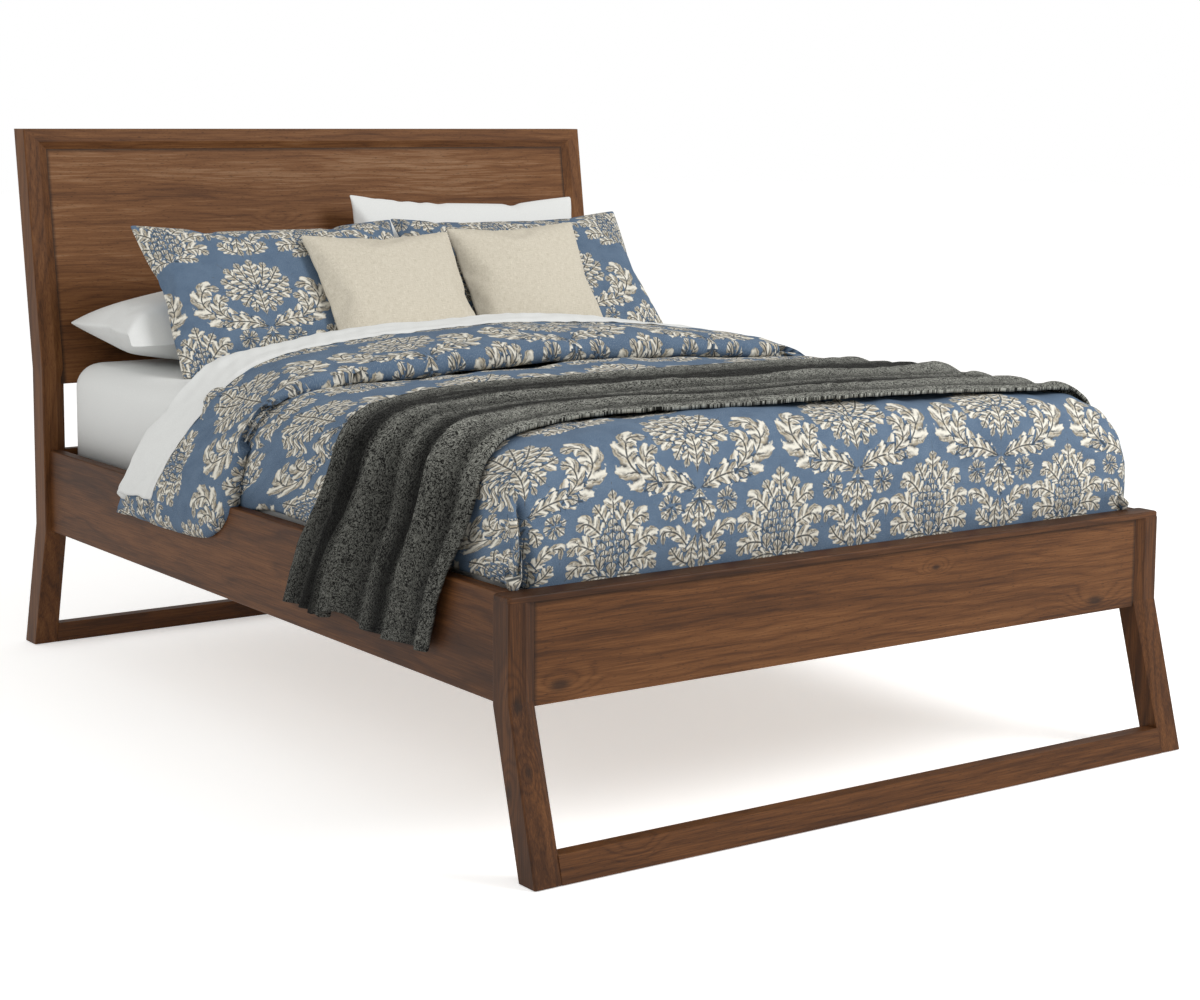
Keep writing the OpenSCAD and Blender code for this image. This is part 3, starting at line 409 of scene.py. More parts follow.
# %% Pine, steel, zinc and felt
PINE_GRAIN = (4, 60, 60)  # stripes to a metre: 17 mm wide and 250 mm long


def planed_pine():
    material, tree = new_material("planed_pine")
    where = add(tree, "TexCoord").outputs["Object"]
    stretched = add(tree, "Mapping", Vector=where, Scale=PINE_GRAIN).outputs[0]
    grain = add(tree, "TexNoise", Vector=stretched, Scale=1, Detail=4).outputs[0]
    colour = add(tree, "MixRGB", Fac=grain, Color1=linear("#b98a55"), Color2=linear("#e0bd8b"))
    shader = add(tree, "BsdfPrincipled", Base_Color=colour.outputs[0], Roughness=0.6)
    add(tree, "OutputMaterial", Surface=shader.outputs[0])
    return material


def smooth_finish(name, colour, roughness, metallic=0.0):
    material, tree = new_material(name)
    shader = add(tree, "BsdfPrincipled", Base_Color=linear(colour), Roughness=roughness, Metallic=metallic)
    add(tree, "OutputMaterial", Surface=shader.outputs[0])
    return material


SLATS = ["slat_%02d" % k for k in range(1, 14)]
PINE_PIECES = ["ledger_left", "ledger_right", "centre_beam", "centre_leg"] + SLATS
BLACK_PIECES = ["beam_hangers", "levelling_foot"]
SCREWS = ["hook_screws", "ledger_screws", "slat_screws", "hanger_screws"]
ZINC_PIECES = ["threaded_insert", "bed_hooks", "hook_receivers"] + SCREWS
for names, material in (
    (PINE_PIECES, planed_pine()),
    (BLACK_PIECES, smooth_finish("black_powder_coat", "#1c1c1d", 0.55)),
    (ZINC_PIECES, smooth_finish("bright_zinc_plate", "#b9bcbe", 0.32, 1.0)),
    (["floor_glides"], smooth_finish("grey_wool_felt", "#6f6a63", 0.95)),
):
    for name in names:
        dress(name, material)
print("pieces under the mattress:", len(PINE_PIECES + BLACK_PIECES + ZINC_PIECES) + 1)

# %% [markdown]
# Everything soft lies on, in or over the frame, so its sizes are read from the frame: where the
# rails and the mattress are, where the duvet starts at the foot and how far its band hangs down.

# %% Sizes read from the frame
rail_low, rail_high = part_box("side_rail_left")
bed_low, bed_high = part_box("mattress")
duvet_low, duvet_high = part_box("duvet")
RAIL_TOP = rail_high.z
RAIL_OUT = -rail_low.x
RAIL_IN = -rail_high.x
HALF_MATTRESS = bed_high.x
TOP = bed_high.z
FOOT = duvet_low.y
HEAD_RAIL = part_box("lower_head_rail")[0].y
HANG = duvet_high.x
PILLOW_SPACE = 0.625
BAND_LENGTH = 0.455
FOLD = HEAD_RAIL - PILLOW_SPACE
HEM = FOLD - BAND_LENGTH
print("mattress top", round(TOP, 4), "crease", round(HEM, 3), "fold", round(FOLD, 3))

# %% [markdown]
# Cloth is laid out as a net of a few key rows, each a half section from the side hem to the middle.
# The rows are mirrored, drawn out to a fine net and relaxed, as a quilt relaxes over what it lies
# on. bmesh makes the grid, and the net says where its corners go.

# %% Helpers for nets of cloth


def whole(half):
    """A half section from the side hem to the middle, completed by its mirror image."""
    half = np.array(half, float)
    left = half * np.array([-1, 1])
    return np.vstack([left, half[-2::-1]])


def spread(line, count):
    """Points evenly spaced along a line, by its own length."""
    steps = np.linalg.norm(np.diff(line, axis=0), axis=1)
    at = np.concatenate([[0], np.cumsum(steps)])
    want = np.linspace(0, at[-1], count)
    return np.stack([np.interp(want, at, line[:, k]) for k in range(line.shape[1])], axis=1)


def net(rows, along, across):
    """A fine net from key rows: along steps down the rows and across steps over each row."""
    rows = np.array([spread(np.array(r, float), across) for r in rows])
    gaps = np.linalg.norm(np.diff(rows, axis=0), axis=2).mean(axis=1)
    at = np.concatenate([[0], np.cumsum(gaps)])
    want = np.linspace(0, at[-1], along)
    out = np.empty((along, across, 3))
    for i in range(across):
        for k in range(3):
            out[:, i, k] = np.interp(want, at, rows[:, i, k])
    return out


def relax(points, passes, lengthwise=True):
    """Rounds a net by averaging each point with its neighbours; the borders stay."""
    points = points.copy()
    for _ in range(passes):
        if lengthwise:
            points[1:-1] = 0.25 * points[:-2] + 0.5 * points[1:-1] + 0.25 * points[2:]
        points[:, 1:-1] = 0.25 * points[:, :-2] + 0.5 * points[:, 1:-1] + 0.25 * points[:, 2:]
    return points


def ease(share):
    """From 0 to 1 with a soft start and end."""
    share = np.clip(share, 0, 1)
    return share * share * (3 - 2 * share)


def normals(points):
    down = np.gradient(points, axis=0)
    over = np.gradient(points, axis=1)
    out = np.cross(over, down)
    return out / np.maximum(np.linalg.norm(out, axis=2, keepdims=True), 1e-9)


print("a half section of 3 points makes a whole of", len(whole([(2, 0), (1, 1), (0, 1)])))

# %% [markdown]
# Cloth is never quite smooth. A noise could bend it, but its bumps would have no direction. A few
# sine waves of about one length, turned at random, look like the slack of a quilt, and with little
# turning they run one way like folds. The lengths on the cloth tell where each wave and print goes.

# %% Waves, and lengths on the cloth
RIPPLES = 7
HIGHEST = 1.4  # a sum of waves seldom goes past this many times the root of their number


def ripple(x, y, wave, seed, spread_deg=180):
    """Smooth waves of about one wavelength, in several directions, from -1 to 1."""
    dice = np.random.default_rng(seed)
    out = np.zeros_like(x)
    for _ in range(RIPPLES):
        a = math.radians(dice.uniform(-spread_deg, spread_deg) / 2)
        size = wave * dice.uniform(0.7, 1.4)
        phase = dice.uniform(0, 2 * math.pi)
        out += np.sin(2 * math.pi * (x * math.cos(a) + y * math.sin(a)) / size + phase)
    return out / math.sqrt(RIPPLES) / HIGHEST


def lengths(points):
    """Distance from the first row and from the middle column, measured on the cloth, in metres."""
    down = np.linalg.norm(np.diff(points, axis=0), axis=2)
    over = np.linalg.norm(np.diff(points, axis=1), axis=2)
    v = np.vstack([np.zeros(points.shape[1]), np.cumsum(down, axis=0)])
    u = np.hstack([np.zeros((points.shape[0], 1)), np.cumsum(over, axis=1)])
    middle = points.shape[1] // 2
    return u - u[:, middle : middle + 1], v


print("sine waves in a ripple:", RIPPLES)

# %% [markdown]
# A net becomes a mesh with bmesh's own grid, whose corners are moved to the net's places. The cloth's
# lengths become its UV map in metres, so that a weave has the same size everywhere. Solidify then
# gives it thickness as a modifier, which keeps the cloth itself a single sheet.

# %% A piece of cloth


def grid_order(along, across):
    """Row and column of each corner, in the order in which create_grid makes them."""
    return np.repeat(np.arange(along), across), np.tile(np.arange(across), along)


def grid_piece(name, points, flat_uv):
    """A mesh whose grid has the net's corners, with the cloth's own metres as its UV map."""
    along, across = points.shape[:2]
    bm = bmesh.new()
    bmesh.ops.create_grid(bm, x_segments=across - 1, y_segments=along - 1, size=0.5)
    row, column = grid_order(along, across)
    layer = bm.loops.layers.uv.new("cloth")
    for face in bm.faces:
        face.smooth = True
        for corner in face.loops:
            i = corner.vert.index
            corner[layer].uv = (flat_uv[0][row[i], column[i]], flat_uv[1][row[i], column[i]])
    for i, v in enumerate(bm.verts):
        v.co = points[row[i], column[i]]
    bmesh.ops.recalc_face_normals(bm, faces=bm.faces)
    mesh = bpy.data.meshes.new(name)
    bm.to_mesh(mesh)
    bm.free()
    obj = bpy.data.objects.new(name, mesh)
    bpy.context.scene.collection.objects.link(obj)
    return obj


def face_up(obj):
    """Turns an open cloth over if its middle faces down, so that Solidify goes inwards."""
    up = sum(p.normal.z * p.area for p in obj.data.polygons)
    if up < 0:
        obj.data.flip_normals()


def thicken(obj, thickness, offset=-1):
    solid = obj.modifiers.new("thickness", "SOLIDIFY")
    solid.thickness = thickness
    solid.offset = offset
    solid.use_even_offset = False
    solid.use_rim = True


def thin_out(obj, weights):
    """Lets Solidify fall off towards the seams; weights has one number for each corner."""
    group = obj.vertex_groups.new(name="loft")
    group.add(list(range(len(weights))), 1.0, "REPLACE")
    for i in np.flatnonzero(weights < 1):
        group.add([int(i)], float(weights[i]), "REPLACE")
    obj.modifiers["thickness"].vertex_group = group.name


def finish_piece(obj, material, slot, *nodes):
    obj.data.materials.clear()
    obj.data.materials.append(material)
    if nodes:
        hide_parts(*nodes)
    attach(obj, BODY)


print("row and column of corner 5 of a net 4 wide:", [int(place[5]) for place in grid_order(3, 4)])

# %% [markdown]
# The print is a damask: an artichoke and a palmette stand on two axes that repeat side by side, and
# acanthus leaves scroll out between them. Each leaf is a curve with a width that swells. Every face
# of the cloth takes the leaf that lies on top there, and its corners keep smooth measures of that
# leaf: how far off its rib, how wide, how many lobes so far. The material cuts lobes, teeth, veins
# and ink from those, which is why the print is far finer than the mesh.

# %% The damask's drawing, in millimetres
REPEAT_WIDE = 391
REPEAT_HIGH = 370
PALMETTE_LEAVES = [  # route from the axis, half width, lobes, where it is widest
    ([(2, 148), (34, 172), (84, 184), (132, 202), (158, 240), (140, 280), (104, 276)], 27, 8, 0.50),
    ([(10, 160), (52, 176), (96, 180), (118, 172)], 17, 4, 0.55),
    ([(96, 186), (118, 210), (112, 240), (88, 250)], 17, 4, 0.5),
    ([(0, 262), (46, 256), (88, 266)], 16, 4, 0.6),
    ([(0, 262), (44, 274), (90, 302)], 16, 5, 0.6),
    ([(0, 262), (36, 290), (72, 334)], 16, 5, 0.6),
    ([(0, 262), (20, 300), (38, 350)], 15, 5, 0.6),
    ([(0, 258), (0, 300), (0, 360)], 16, 5, 0.6),
    ([(3, 258), (30, 246), (50, 222)], 13, 4, 0.6),
    ([(2, 252), (16, 232), (26, 204)], 11, 3, 0.5),
    ([(0, 192), (0, 225), (0, 268)], 15, 4, 0.6),
    ([(0, 158), (0, 120), (0, 72)], 17, 5, 0.4),
    ([(4, 136), (22, 120), (30, 94)], 12, 3, 0.6),
    ([(12, 2), (22, 40), (48, 74), (78, 80), (80, 58)], 13, 5, 0.45),
    ([(16, 8), (44, 24), (62, 46)], 13, 4, 0.6),
    ([(6, 66), (14, 34), (10, 4)], 12, 3, 0.5),
]
ARTICHOKE_LEAVES = [
    ([(0, 84), (2, 124), (0, 178)], 19, 5, 0.5),
    ([(6, 92), (22, 126), (40, 154)], 16, 4, 0.55),
    ([(8, 70), (36, 104), (62, 122), (80, 112)], 18, 5, 0.5),
    ([(10, 46), (46, 66), (80, 80), (98, 62)], 19, 5, 0.5),
    ([(6, 24), (40, 34), (76, 36), (98, 16)], 18, 5, 0.5),
    ([(0, 6), (26, 10), (52, 6), (66, -4)], 12, 4, 0.5),
]
HEART = [  # where each scale of the artichoke's heart starts
    (0, 92), (9, 78), (0, 64), (18, 62), (9, 48), (27, 46), (0, 34), (18, 32), (9, 18), (27, 20), (0, 4),
]
SCALE_HIGH = 30
FLOWER = (66, 128, 25, 6)  # its place, radius and number of petals
FLOWER_TURN = 0.3
FULLER = 1.32  # all leaves are drawn this much wider

# %% [markdown]
# A leaf's rib is drawn by a few points of its route. Straight lines between them would show as bends,
# and a Bezier curve would want handles. A Catmull-Rom curve needs nothing but the points, and it goes
# through all of them. Leaves beside an axis are drawn once more as mirror images.

# %% Ribs of all leaves
CURVE_POINTS = 18


def route_curve(points):
    """A curve through the points of a route, with its end stretches as straight as they come."""
    p = np.array(points, float)
    p = np.vstack([2 * p[0] - p[1], p, 2 * p[-1] - p[-2]])
    out = []
    for t in np.linspace(0, len(p) - 3 - 1e-9, CURVE_POINTS):
        a, b, c, d = p[int(t) : int(t) + 4]
        f = t - int(t)
        second, third = a - 2.5 * b + 2 * c - d / 2, 1.5 * (b - c) + (d - a) / 2
        out.append(b + f * (c - a) / 2 + f**2 * second + f**3 * third)
    return np.array(out)


def all_leaves():
    """Every leaf of one repeat as a curve, with its mirror image, the lowest layer first."""
    middle = REPEAT_WIDE / 2
    x, y, radius, petals = FLOWER
    turns = [2 * math.pi * k / petals + FLOWER_TURN for k in range(petals)]
    flower = [([(x, y), (x + radius * math.cos(a), y + radius * math.sin(a))], 9, 1, 0.6) for a in turns]
    out = []
    scales = [([(sx, sy), (sx, sy + SCALE_HIGH)], 10.5, 1, 0.45) for sx, sy in HEART]
    for axis, leaves in ((middle, ARTICHOKE_LEAVES + scales), (0, PALMETTE_LEAVES + flower)):
        for route, half, lobes, widest in leaves:
            for side in (1, -1) if max(abs(p[0]) for p in route) > 3 else (1,):
                line = route_curve(route) * np.array([side, 1]) + np.array([axis, 0])
                out.append((line, half * FULLER, lobes, widest))
    return out


print("leaves in one repeat:", len(all_leaves()))

# %% [markdown]
# A picture of the drawing could be wrapped on, but a picture is only as fine as its dots. So the
# corners of each face keep numbers instead. Points past the tip or behind the start of a leaf count
# as outside, and a leaf sweeps forward, so its edge lags behind its rib.

# %% The leaf on top of each face
FAR_OFF = 1e3
SWEEP = 0.45  # how far the edge lags behind the rib, for each millimetre off it
PAST_END = 0.02
BLUNT = 0.6
NOTCHED = 0.8  # the share of a leaf's width that its notches leave whole
HALO = 1.0  # a leaf also takes the ground this close to its edge
NO_LEAF = 45  # off the rib, where there is none
FACE_REACH = 9  # a face may be this large
COVERS = 2  # a leaf this deep under another one counts as covered
PACK_SCALE = np.array([0.01, 0.02, 0.1, 1])  # brings off, width, lobes and cover between 0 and 1
PACK_SHIFT = np.array([0.5, 0, 0, 0])


def leaf_fields(x, y, line, half, lobes, widest):
    """How far points lie off a leaf's rib, its half width there, its lobes so far, and their depth in it."""
    steps = np.linalg.norm(np.diff(line, axis=0), axis=1)
    at = np.concatenate([[0], np.cumsum(steps)])
    off, along = np.full(x.shape, FAR_OFF), np.zeros(x.shape)
    for k in range(len(steps)):
        a, way = line[k], line[k + 1] - line[k]
        f = ((x - a[0]) * way[0] + (y - a[1]) * way[1]) / (way @ way)
        f = np.clip(f, -3 if k == 0 else 0, 4 if k == len(steps) - 1 else 1)
        dx, dy = x - a[0] - f * way[0], y - a[1] - f * way[1]
        far = np.hypot(dx, dy)
        closer = far < np.abs(off)
        off = np.where(closer, far * np.where(way[0] * dy - way[1] * dx < 0, -1, 1), off)
        along = np.where(closer, at[k] + f * steps[k], along)
    t = along / at[-1]
    swept = np.clip(t - SWEEP * np.abs(off) / at[-1], 0, 1)
    swell = np.sin(np.pi * swept ** (math.log(0.5) / math.log(widest))) ** BLUNT
    width = np.where((t < -PAST_END) | (t > 1 + PAST_END), 0, half * swell)
    return off, width, lobes * t, NOTCHED * width - np.abs(off)


print("a leaf's edge lags", SWEEP, "mm behind its rib for each mm off it")

# %% [markdown]
# The drawing repeats over the cloth, so a leaf is looked for in the repeat nearest to each face. It
# could be tested against every face, but that is slow: only faces within its reach are. The last leaf
# that covers a face wins, as the leaves come lowest first.

# %% The print on a mesh


def damask_drawing(u, v):
    """Fields of the leaf on top, for the corners of each face; u and v have a row for each face."""
    found = np.zeros(u.shape + (4,))
    found[..., 0] = NO_LEAF
    best = np.full(len(u), -FAR_OFF)
    face_u, face_v = u.mean(axis=1), v.mean(axis=1)
    for line, half, lobes, widest in all_leaves():
        middle = (line.max(axis=0) + line.min(axis=0)) / 2
        reach = (line.max(axis=0) - line.min(axis=0)) / 2 + half + FACE_REACH
        away_u = np.round((face_u - middle[0]) / REPEAT_WIDE) * REPEAT_WIDE
        away_v = np.round((face_v - middle[1]) / REPEAT_HIGH) * REPEAT_HIGH
        beside = np.abs(face_u - away_u - middle[0]) < reach[0]
        level = np.abs(face_v - away_v - middle[1]) < reach[1]
        near = np.flatnonzero(beside & level)
        off, width, cycles, depth = leaf_fields(
            u[near] - away_u[near, None], v[near] - away_v[near, None], line, half, lobes, widest)
        deepest = depth.max(axis=1)
        wins = (deepest > -HALO) | (deepest > best[near])
        on_leaf = (best[near] > COVERS)[:, None] & np.ones(4, bool)
        best[near] = np.where(wins, deepest, best[near])
        chosen = near[wins]
        found[chosen] = np.stack([off, width, cycles, on_leaf], axis=2)[wins]
    return found


def print_damask(mesh, u, v):
    """Keeps the drawing on the corners of faces, whose places on the cloth are u and v in metres."""
    corner = np.empty(len(mesh.loops), int)
    mesh.loops.foreach_get("vertex_index", corner)
    corner = corner.reshape(-1, 4)
    fields = damask_drawing(u[corner] * 1000, v[corner] * 1000)
    packed = fields * PACK_SCALE + PACK_SHIFT
    layer = mesh.attributes.new("damask", "FLOAT_COLOR", "CORNER")
    layer.data.foreach_set("color", np.clip(packed, 0, 1).astype(np.float32).ravel())


print("kept on each corner: off the rib, half width, lobes so far, cover")

# %% [markdown]
# Duvet cover and shams are one washed cotton with a printed ground. Its blue is mottled, the drawing
# is cream with a tan shade on one side of each lobe, and the ink lines are a dark grey. Cotton has no
# gloss, so the surface is rough, with a weave that only shows as a slight grain. The print could be
# built of nodes joined by hand. As a table of steps it reads in the order in which an engraver works:
# the leaf's edge, its rib, its cuts and veins, and last the ink.

# %% Damask cotton
RAGGED, BLOTS, WEAVE = 130, 18, 520  # to a metre: ragged edges of 8 mm, blots of 55, threads of 2
DAMASK_STEPS = [  # red, green, blue and alpha are what print_damask kept on the corners
    ("wander", "SUBTRACT", "ragged", 0.5),
    # millimetres off the rib, half width of the leaf, and how far out between them
    ("signed_off", "MULTIPLY_ADD", "red", 100.0, -50.0),
    ("off", "ABSOLUTE", "signed_off"),
    ("width", "MULTIPLY", "green", 50.0),
    ("width_and_rib", "ADD", "width", 2.0),
    ("share", "DIVIDE", "off", "width_and_rib"),
    # lobes so far, swept back towards the edge; from them a wave for the lobes, one a quarter behind
    # for their shaded side, and three teeth on each lobe
    ("strayed", "MULTIPLY", "wander", 0.35),
    ("swept", "MULTIPLY_ADD", "share", -0.8, "strayed"),
    ("lobes", "MULTIPLY_ADD", "blue", 10.0, "swept"),
    ("lobe_angle", "MULTIPLY", "lobes", 2 * math.pi),
    ("lobe_wave", "COSINE", "lobe_angle"),
    ("lobe", "MULTIPLY_ADD", "lobe_wave", 0.5, 0.5),
    ("side_wave", "SINE", "lobe_angle"),
    ("side", "MULTIPLY_ADD", "side_wave", 0.5, 0.5),
    ("tooth_angle", "MULTIPLY", "lobes", 6 * math.pi),
    ("tooth_wave", "COSINE", "tooth_angle"),
    ("teeth", "MULTIPLY_ADD", "tooth_wave", 0.5, 0.5),
    # the edge: notches between the lobes and small teeth, then how deep inside it a point lies
    ("round_lobe", "POWER", "lobe", 2.0),
    ("toothed", "MULTIPLY_ADD", "teeth", -0.10, 1.05),
    ("notched", "MULTIPLY_ADD", "round_lobe", -0.42, "toothed"),
    ("edge", "MULTIPLY", "width", "notched"),
    ("clean_depth", "SUBTRACT", "edge", "off"),
    ("depth", "MULTIPLY_ADD", "wander", 5.0, "clean_depth"),
    ("drawn", "SMOOTHSTEP", "depth", -0.5, 0.5),
    # ink: the rib, the cuts between lobes, a vein in each lobe, fine hatching on its shaded side
    ("off_rib", "SMOOTHSTEP", "off", 0.8, 2.9),
    ("rib", "SUBTRACT", 1.0, "off_rib"),
    ("narrow_cut", "POWER", "lobe", 4.0),
    ("past_rib", "SMOOTHSTEP", "share", 0.05, 0.30),
    ("cut", "MULTIPLY", "narrow_cut", "past_rib"),
    ("lobe_middle", "SUBTRACT", 1.0, "lobe"),
    ("narrow_vein", "POWER", "lobe_middle", 16.0),
    ("short_of_edge", "SMOOTHSTEP", "share", 0.85, 0.35),
    ("vein", "MULTIPLY", "narrow_vein", "short_of_edge"),
    ("narrow_hatch", "POWER", "teeth", 2.5),
    ("outer_part", "SMOOTHSTEP", "share", 0.15, 0.45),
    ("shaded_part", "MULTIPLY", "side", "outer_part"),
    ("full_hatch", "MULTIPLY", "narrow_hatch", "shaded_part"),
    ("hatch", "MULTIPLY", "full_hatch", 0.75),
    ("inside", "SMOOTHSTEP", "depth", 0.2, 2.2),
    ("full_rim", "SUBTRACT", 1.0, "inside"),
    ("rim", "MULTIPLY", "full_rim", 0.45),
    ("rib_and_cuts", "MAXIMUM", "rib", "cut"),
    ("vein_and_hatch", "MAXIMUM", "vein", "hatch"),
    ("lines", "MAXIMUM", "rib_and_cuts", "vein_and_hatch"),
    ("all_lines", "MAXIMUM", "lines", "rim"),
    ("unwashed", "SMOOTHSTEP", "ragged", 0.24, 0.46),
    ("worn_lines", "MULTIPLY", "all_lines", "unwashed"),
    ("ink", "MULTIPLY", "worn_lines", 0.92),
    # the tan shade lies on the shaded side
    ("side_tone", "MULTIPLY", "side", 0.75),
    ("tone", "MULTIPLY_ADD", "wander", 2.2, "side_tone"),
    ("tan", "SMOOTHSTEP", "tone", 0.15, 1.0),
    # where one leaf covers another, the gap between them is inked instead of blue
    ("covered", "MULTIPLY", "alpha", 0.75),
    ("close", "SMOOTHSTEP", "depth", -5.0, -1.0),
    ("gap", "MULTIPLY", "covered", "close"),
]
print("steps of the print:", len(DAMASK_STEPS))

# %% [markdown]
# The colours lie on each other as on the real cloth: the blue ground, the threads that washing wore
# pale, the ink in the gaps between leaves, and the drawing. A weave of two millimetres tilts the
# surface a little, coarser than real cotton, whose threads would be too fine to show.

# %% The damask's colours


def damask_cotton():
    material, tree = new_material("damask_printed_cotton")
    place = add(tree, "UVMap", {"uv_map": "cloth"}).outputs[0]
    stored = add(tree, "Attribute", {"attribute_name": "damask"})
    red, green, blue = add(tree, "SeparateColor", Color=stored.outputs["Color"]).outputs
    known = {"red": red, "green": green, "blue": blue, "alpha": stored.outputs["Alpha"]}
    known["ragged"] = add(tree, "TexNoise", Vector=place, Scale=RAGGED, Detail=3, Roughness=0.6).outputs[0]
    work_out(tree, known, DAMASK_STEPS)
    blots = add(tree, "TexNoise", Vector=place, Scale=BLOTS, Detail=5, Roughness=0.65).outputs[0]
    weave = add(tree, "TexNoise", Vector=place, Scale=WEAVE, Detail=1).outputs[0]
    ground = add(tree, "MixRGB", Fac=blots, Color1=linear("#384e69"), Color2=linear("#697e95"))
    worn = add(tree, "MapRange", i0=weave, i1=0.45, i2=0.75, i3=0.0, i4=0.35)
    cream = add(tree, "MixRGB", Fac=known["tan"], Color1=linear("#e6e2d6"), Color2=linear("#b0a590"))
    drawn = add(tree, "MixRGB", Fac=known["ink"], Color1=cream.outputs[0], Color2=linear("#2e3339"))
    colour = ground.outputs[0]
    for share, over in (
        (worn.outputs[0], linear("#9aa7b2")),
        (known["gap"], linear("#2e3740")),
        (known["drawn"], drawn.outputs[0]),
    ):
        colour = add(tree, "MixRGB", Fac=share, Color1=colour, Color2=over).outputs[0]
    bump = add(tree, "Bump", Strength=0.25, Distance=0.0006, Height=weave)
    shader = add(tree, "BsdfPrincipled", Base_Color=colour, Roughness=0.88, Normal=bump.outputs[0])
    shader.inputs["Specular IOR Level"].default_value = 0.25
    add(tree, "OutputMaterial", Surface=shader.outputs[0])
    return material


damask = damask_cotton()
print(damask.name, "has", len(damask.node_tree.nodes), "nodes")

# %% [markdown]
# Section lines of the duvet. On the main part the sides are tucked down inside the rails, so a
# section is an upright side, a round shoulder and a low crown. The folded-back band is wider and
# hangs outside the rails.

# %% Sections
SHOULDER = [math.radians(a) for a in (15, 30, 45, 60, 75, 90)]
CROWN = [0.85, 0.7, 0.55, 0.4, 0.2, 0]  # from the shoulder to the middle
TUCK_Z = RAIL_TOP + 0.006
TUCK_SHARE = 0.4  # the tuck reaches up this share of an upright side
HEM_FLARE = 0.42
FOLD_FLARE = 0.95
FOLD_DIP = 0.045
DIP_START, DIP_WIDTH = 0.30, 0.45  # out from the middle
FOLD_STRAIGHT = 0.055  # the fold runs straight this far down from the mattress's top
UNDER_SHOULDER = 0.060
RAIL_ROUND = 0.006


def arch(x, z_hem, z_side, shoulder, z_shoulder, crown, tuck):
    """Half a section: an upright side, a round shoulder and a crowned top."""
    side = [(x - tuck, z_hem), (x, z_hem + TUCK_SHARE * (z_side - z_hem)), (x, z_side)]
    rise = z_shoulder - z_side
    bend = [(x - shoulder * (1 - math.cos(a)), z_side + rise * math.sin(a)) for a in SHOULDER]
    top = [((x - shoulder) * f, z_shoulder + crown * (1 - f * f)) for f in CROWN]
    return np.array(side + bend + top)


def main_section(d=0.0):
    """Inside the rails, as the cloth lies with d added to its outside."""
    return arch(x=RAIL_IN + d, z_hem=TUCK_Z, z_side=RAIL_TOP + 0.155, shoulder=0.125,
                z_shoulder=TOP + 0.036 + d, crown=0.024, tuck=0.004)


def band_section(d=0.0):
    """Outside the rails, down to the duvet's hem."""
    return arch(x=HANG + d, z_hem=duvet_low.z, z_side=RAIL_TOP, shoulder=0.25,
                z_shoulder=TOP + 0.080 + d, crown=0.044, tuck=0.004)


def under_section(d, z_hem):
    """The mattress's outline, led over the rail and down its outer face."""
    out, r = RAIL_OUT + d, UNDER_SHOULDER
    side = [(out, z_hem), (out, RAIL_TOP - RAIL_ROUND), (out - RAIL_ROUND / 2, RAIL_TOP + RAIL_ROUND + d)]
    x, z = HALF_MATTRESS - r, TOP - r
    bend = [(x + (r + d) * math.cos(a), z + (r + d) * math.sin(a)) for a in SHOULDER]
    top = [(x * f, TOP + d) for f in CROWN]
    return np.array(side + bend + top)


def fold_line(x, z):
    """How far the fold lies from its place in the middle: nearer the foot at the shoulders, and
    ever nearer the head down the sides."""
    dip = ease((np.abs(x) - DIP_START) / DIP_WIDTH)
    return FOLD_FLARE * np.maximum(0, TOP - FOLD_STRAIGHT - z) - FOLD_DIP * dip


def row(section, y, fold=0.0, flare=1.0):
    """A section set at a place along the bed. Its low parts lie further on, by the hem's flare or,
    as far as fold says, by the fold's own line."""
    full = whole(section)
    out = np.empty((len(full), 3))
    out[:, 0] = full[:, 0]
    out[:, 2] = full[:, 1]
    hem = HEM_FLARE * flare * np.maximum(0, TOP - full[:, 1])
    out[:, 1] = y + (1 - fold) * hem + fold * fold_line(full[:, 0], full[:, 1])
    return out


def sink(section, z, share):
    """A section lowered towards a height, so that only a share of its rise is left."""
    out = section.copy()
    out[:, 1] = z + (out[:, 1] - z) * share
    return out


print("half width of the main part and the band:", round(RAIL_IN, 4), round(HANG, 4))

# %% [markdown]
# The duvet is one long quilt: it starts behind the footboard, rises over the foot of the mattress,
# runs up the bed under its own band, turns round in a soft roll and comes back as the band. The key
# rows follow that path. Fine waves are added along the normals, and Solidify gives the quilt its
# thickness, inwards, so the outside stays where the sections put it.

# %% Duvet
DUVET_STEPS = (430, 350)
DUVET_ROUNDING = 18
FOOT_Z = RAIL_TOP - 0.015
QUILT = 0.016
QUILT_GAP = 0.005
TURN = FOLD - QUILT  # the fold's outside ends at FOLD
FOOT_RISE = [  # metres from the foot, and the share of the quilt's height that it has reached
    (0.004, 0.03), (0.0, 0.25), (-0.001, 0.45), (0.0, 0.62), (0.003, 0.76), (0.012, 0.87),
    (0.030, 0.935), (0.060, 0.968), (0.10, 0.988), (0.142, 1.0),
]
QUILT_WAVES = ((0.0045, 0.30, 11), (0.0018, 0.09, 12))  # height, wavelength, seed
WAVE_FADE = 0.05
TUCK_DEPTH, TUCK_WIDTH = 0.034, 0.011
TUCK_SWELL = (0.003, 0.026, 0.014)  # the cloth rises beside it: height, place, width
TUCK_AT = -0.752  # from the middle, on the cloth
TUCK_SLANT = 0.35
TUCK_END = 0.215
SEAM_ROUNDING = 0.026
PALMETTE_AT = 0.020
BAND_PRINT = 0.50  # this much from the band's hem on, the print is counted from that hem
BAND_PRINT_START = 0.110


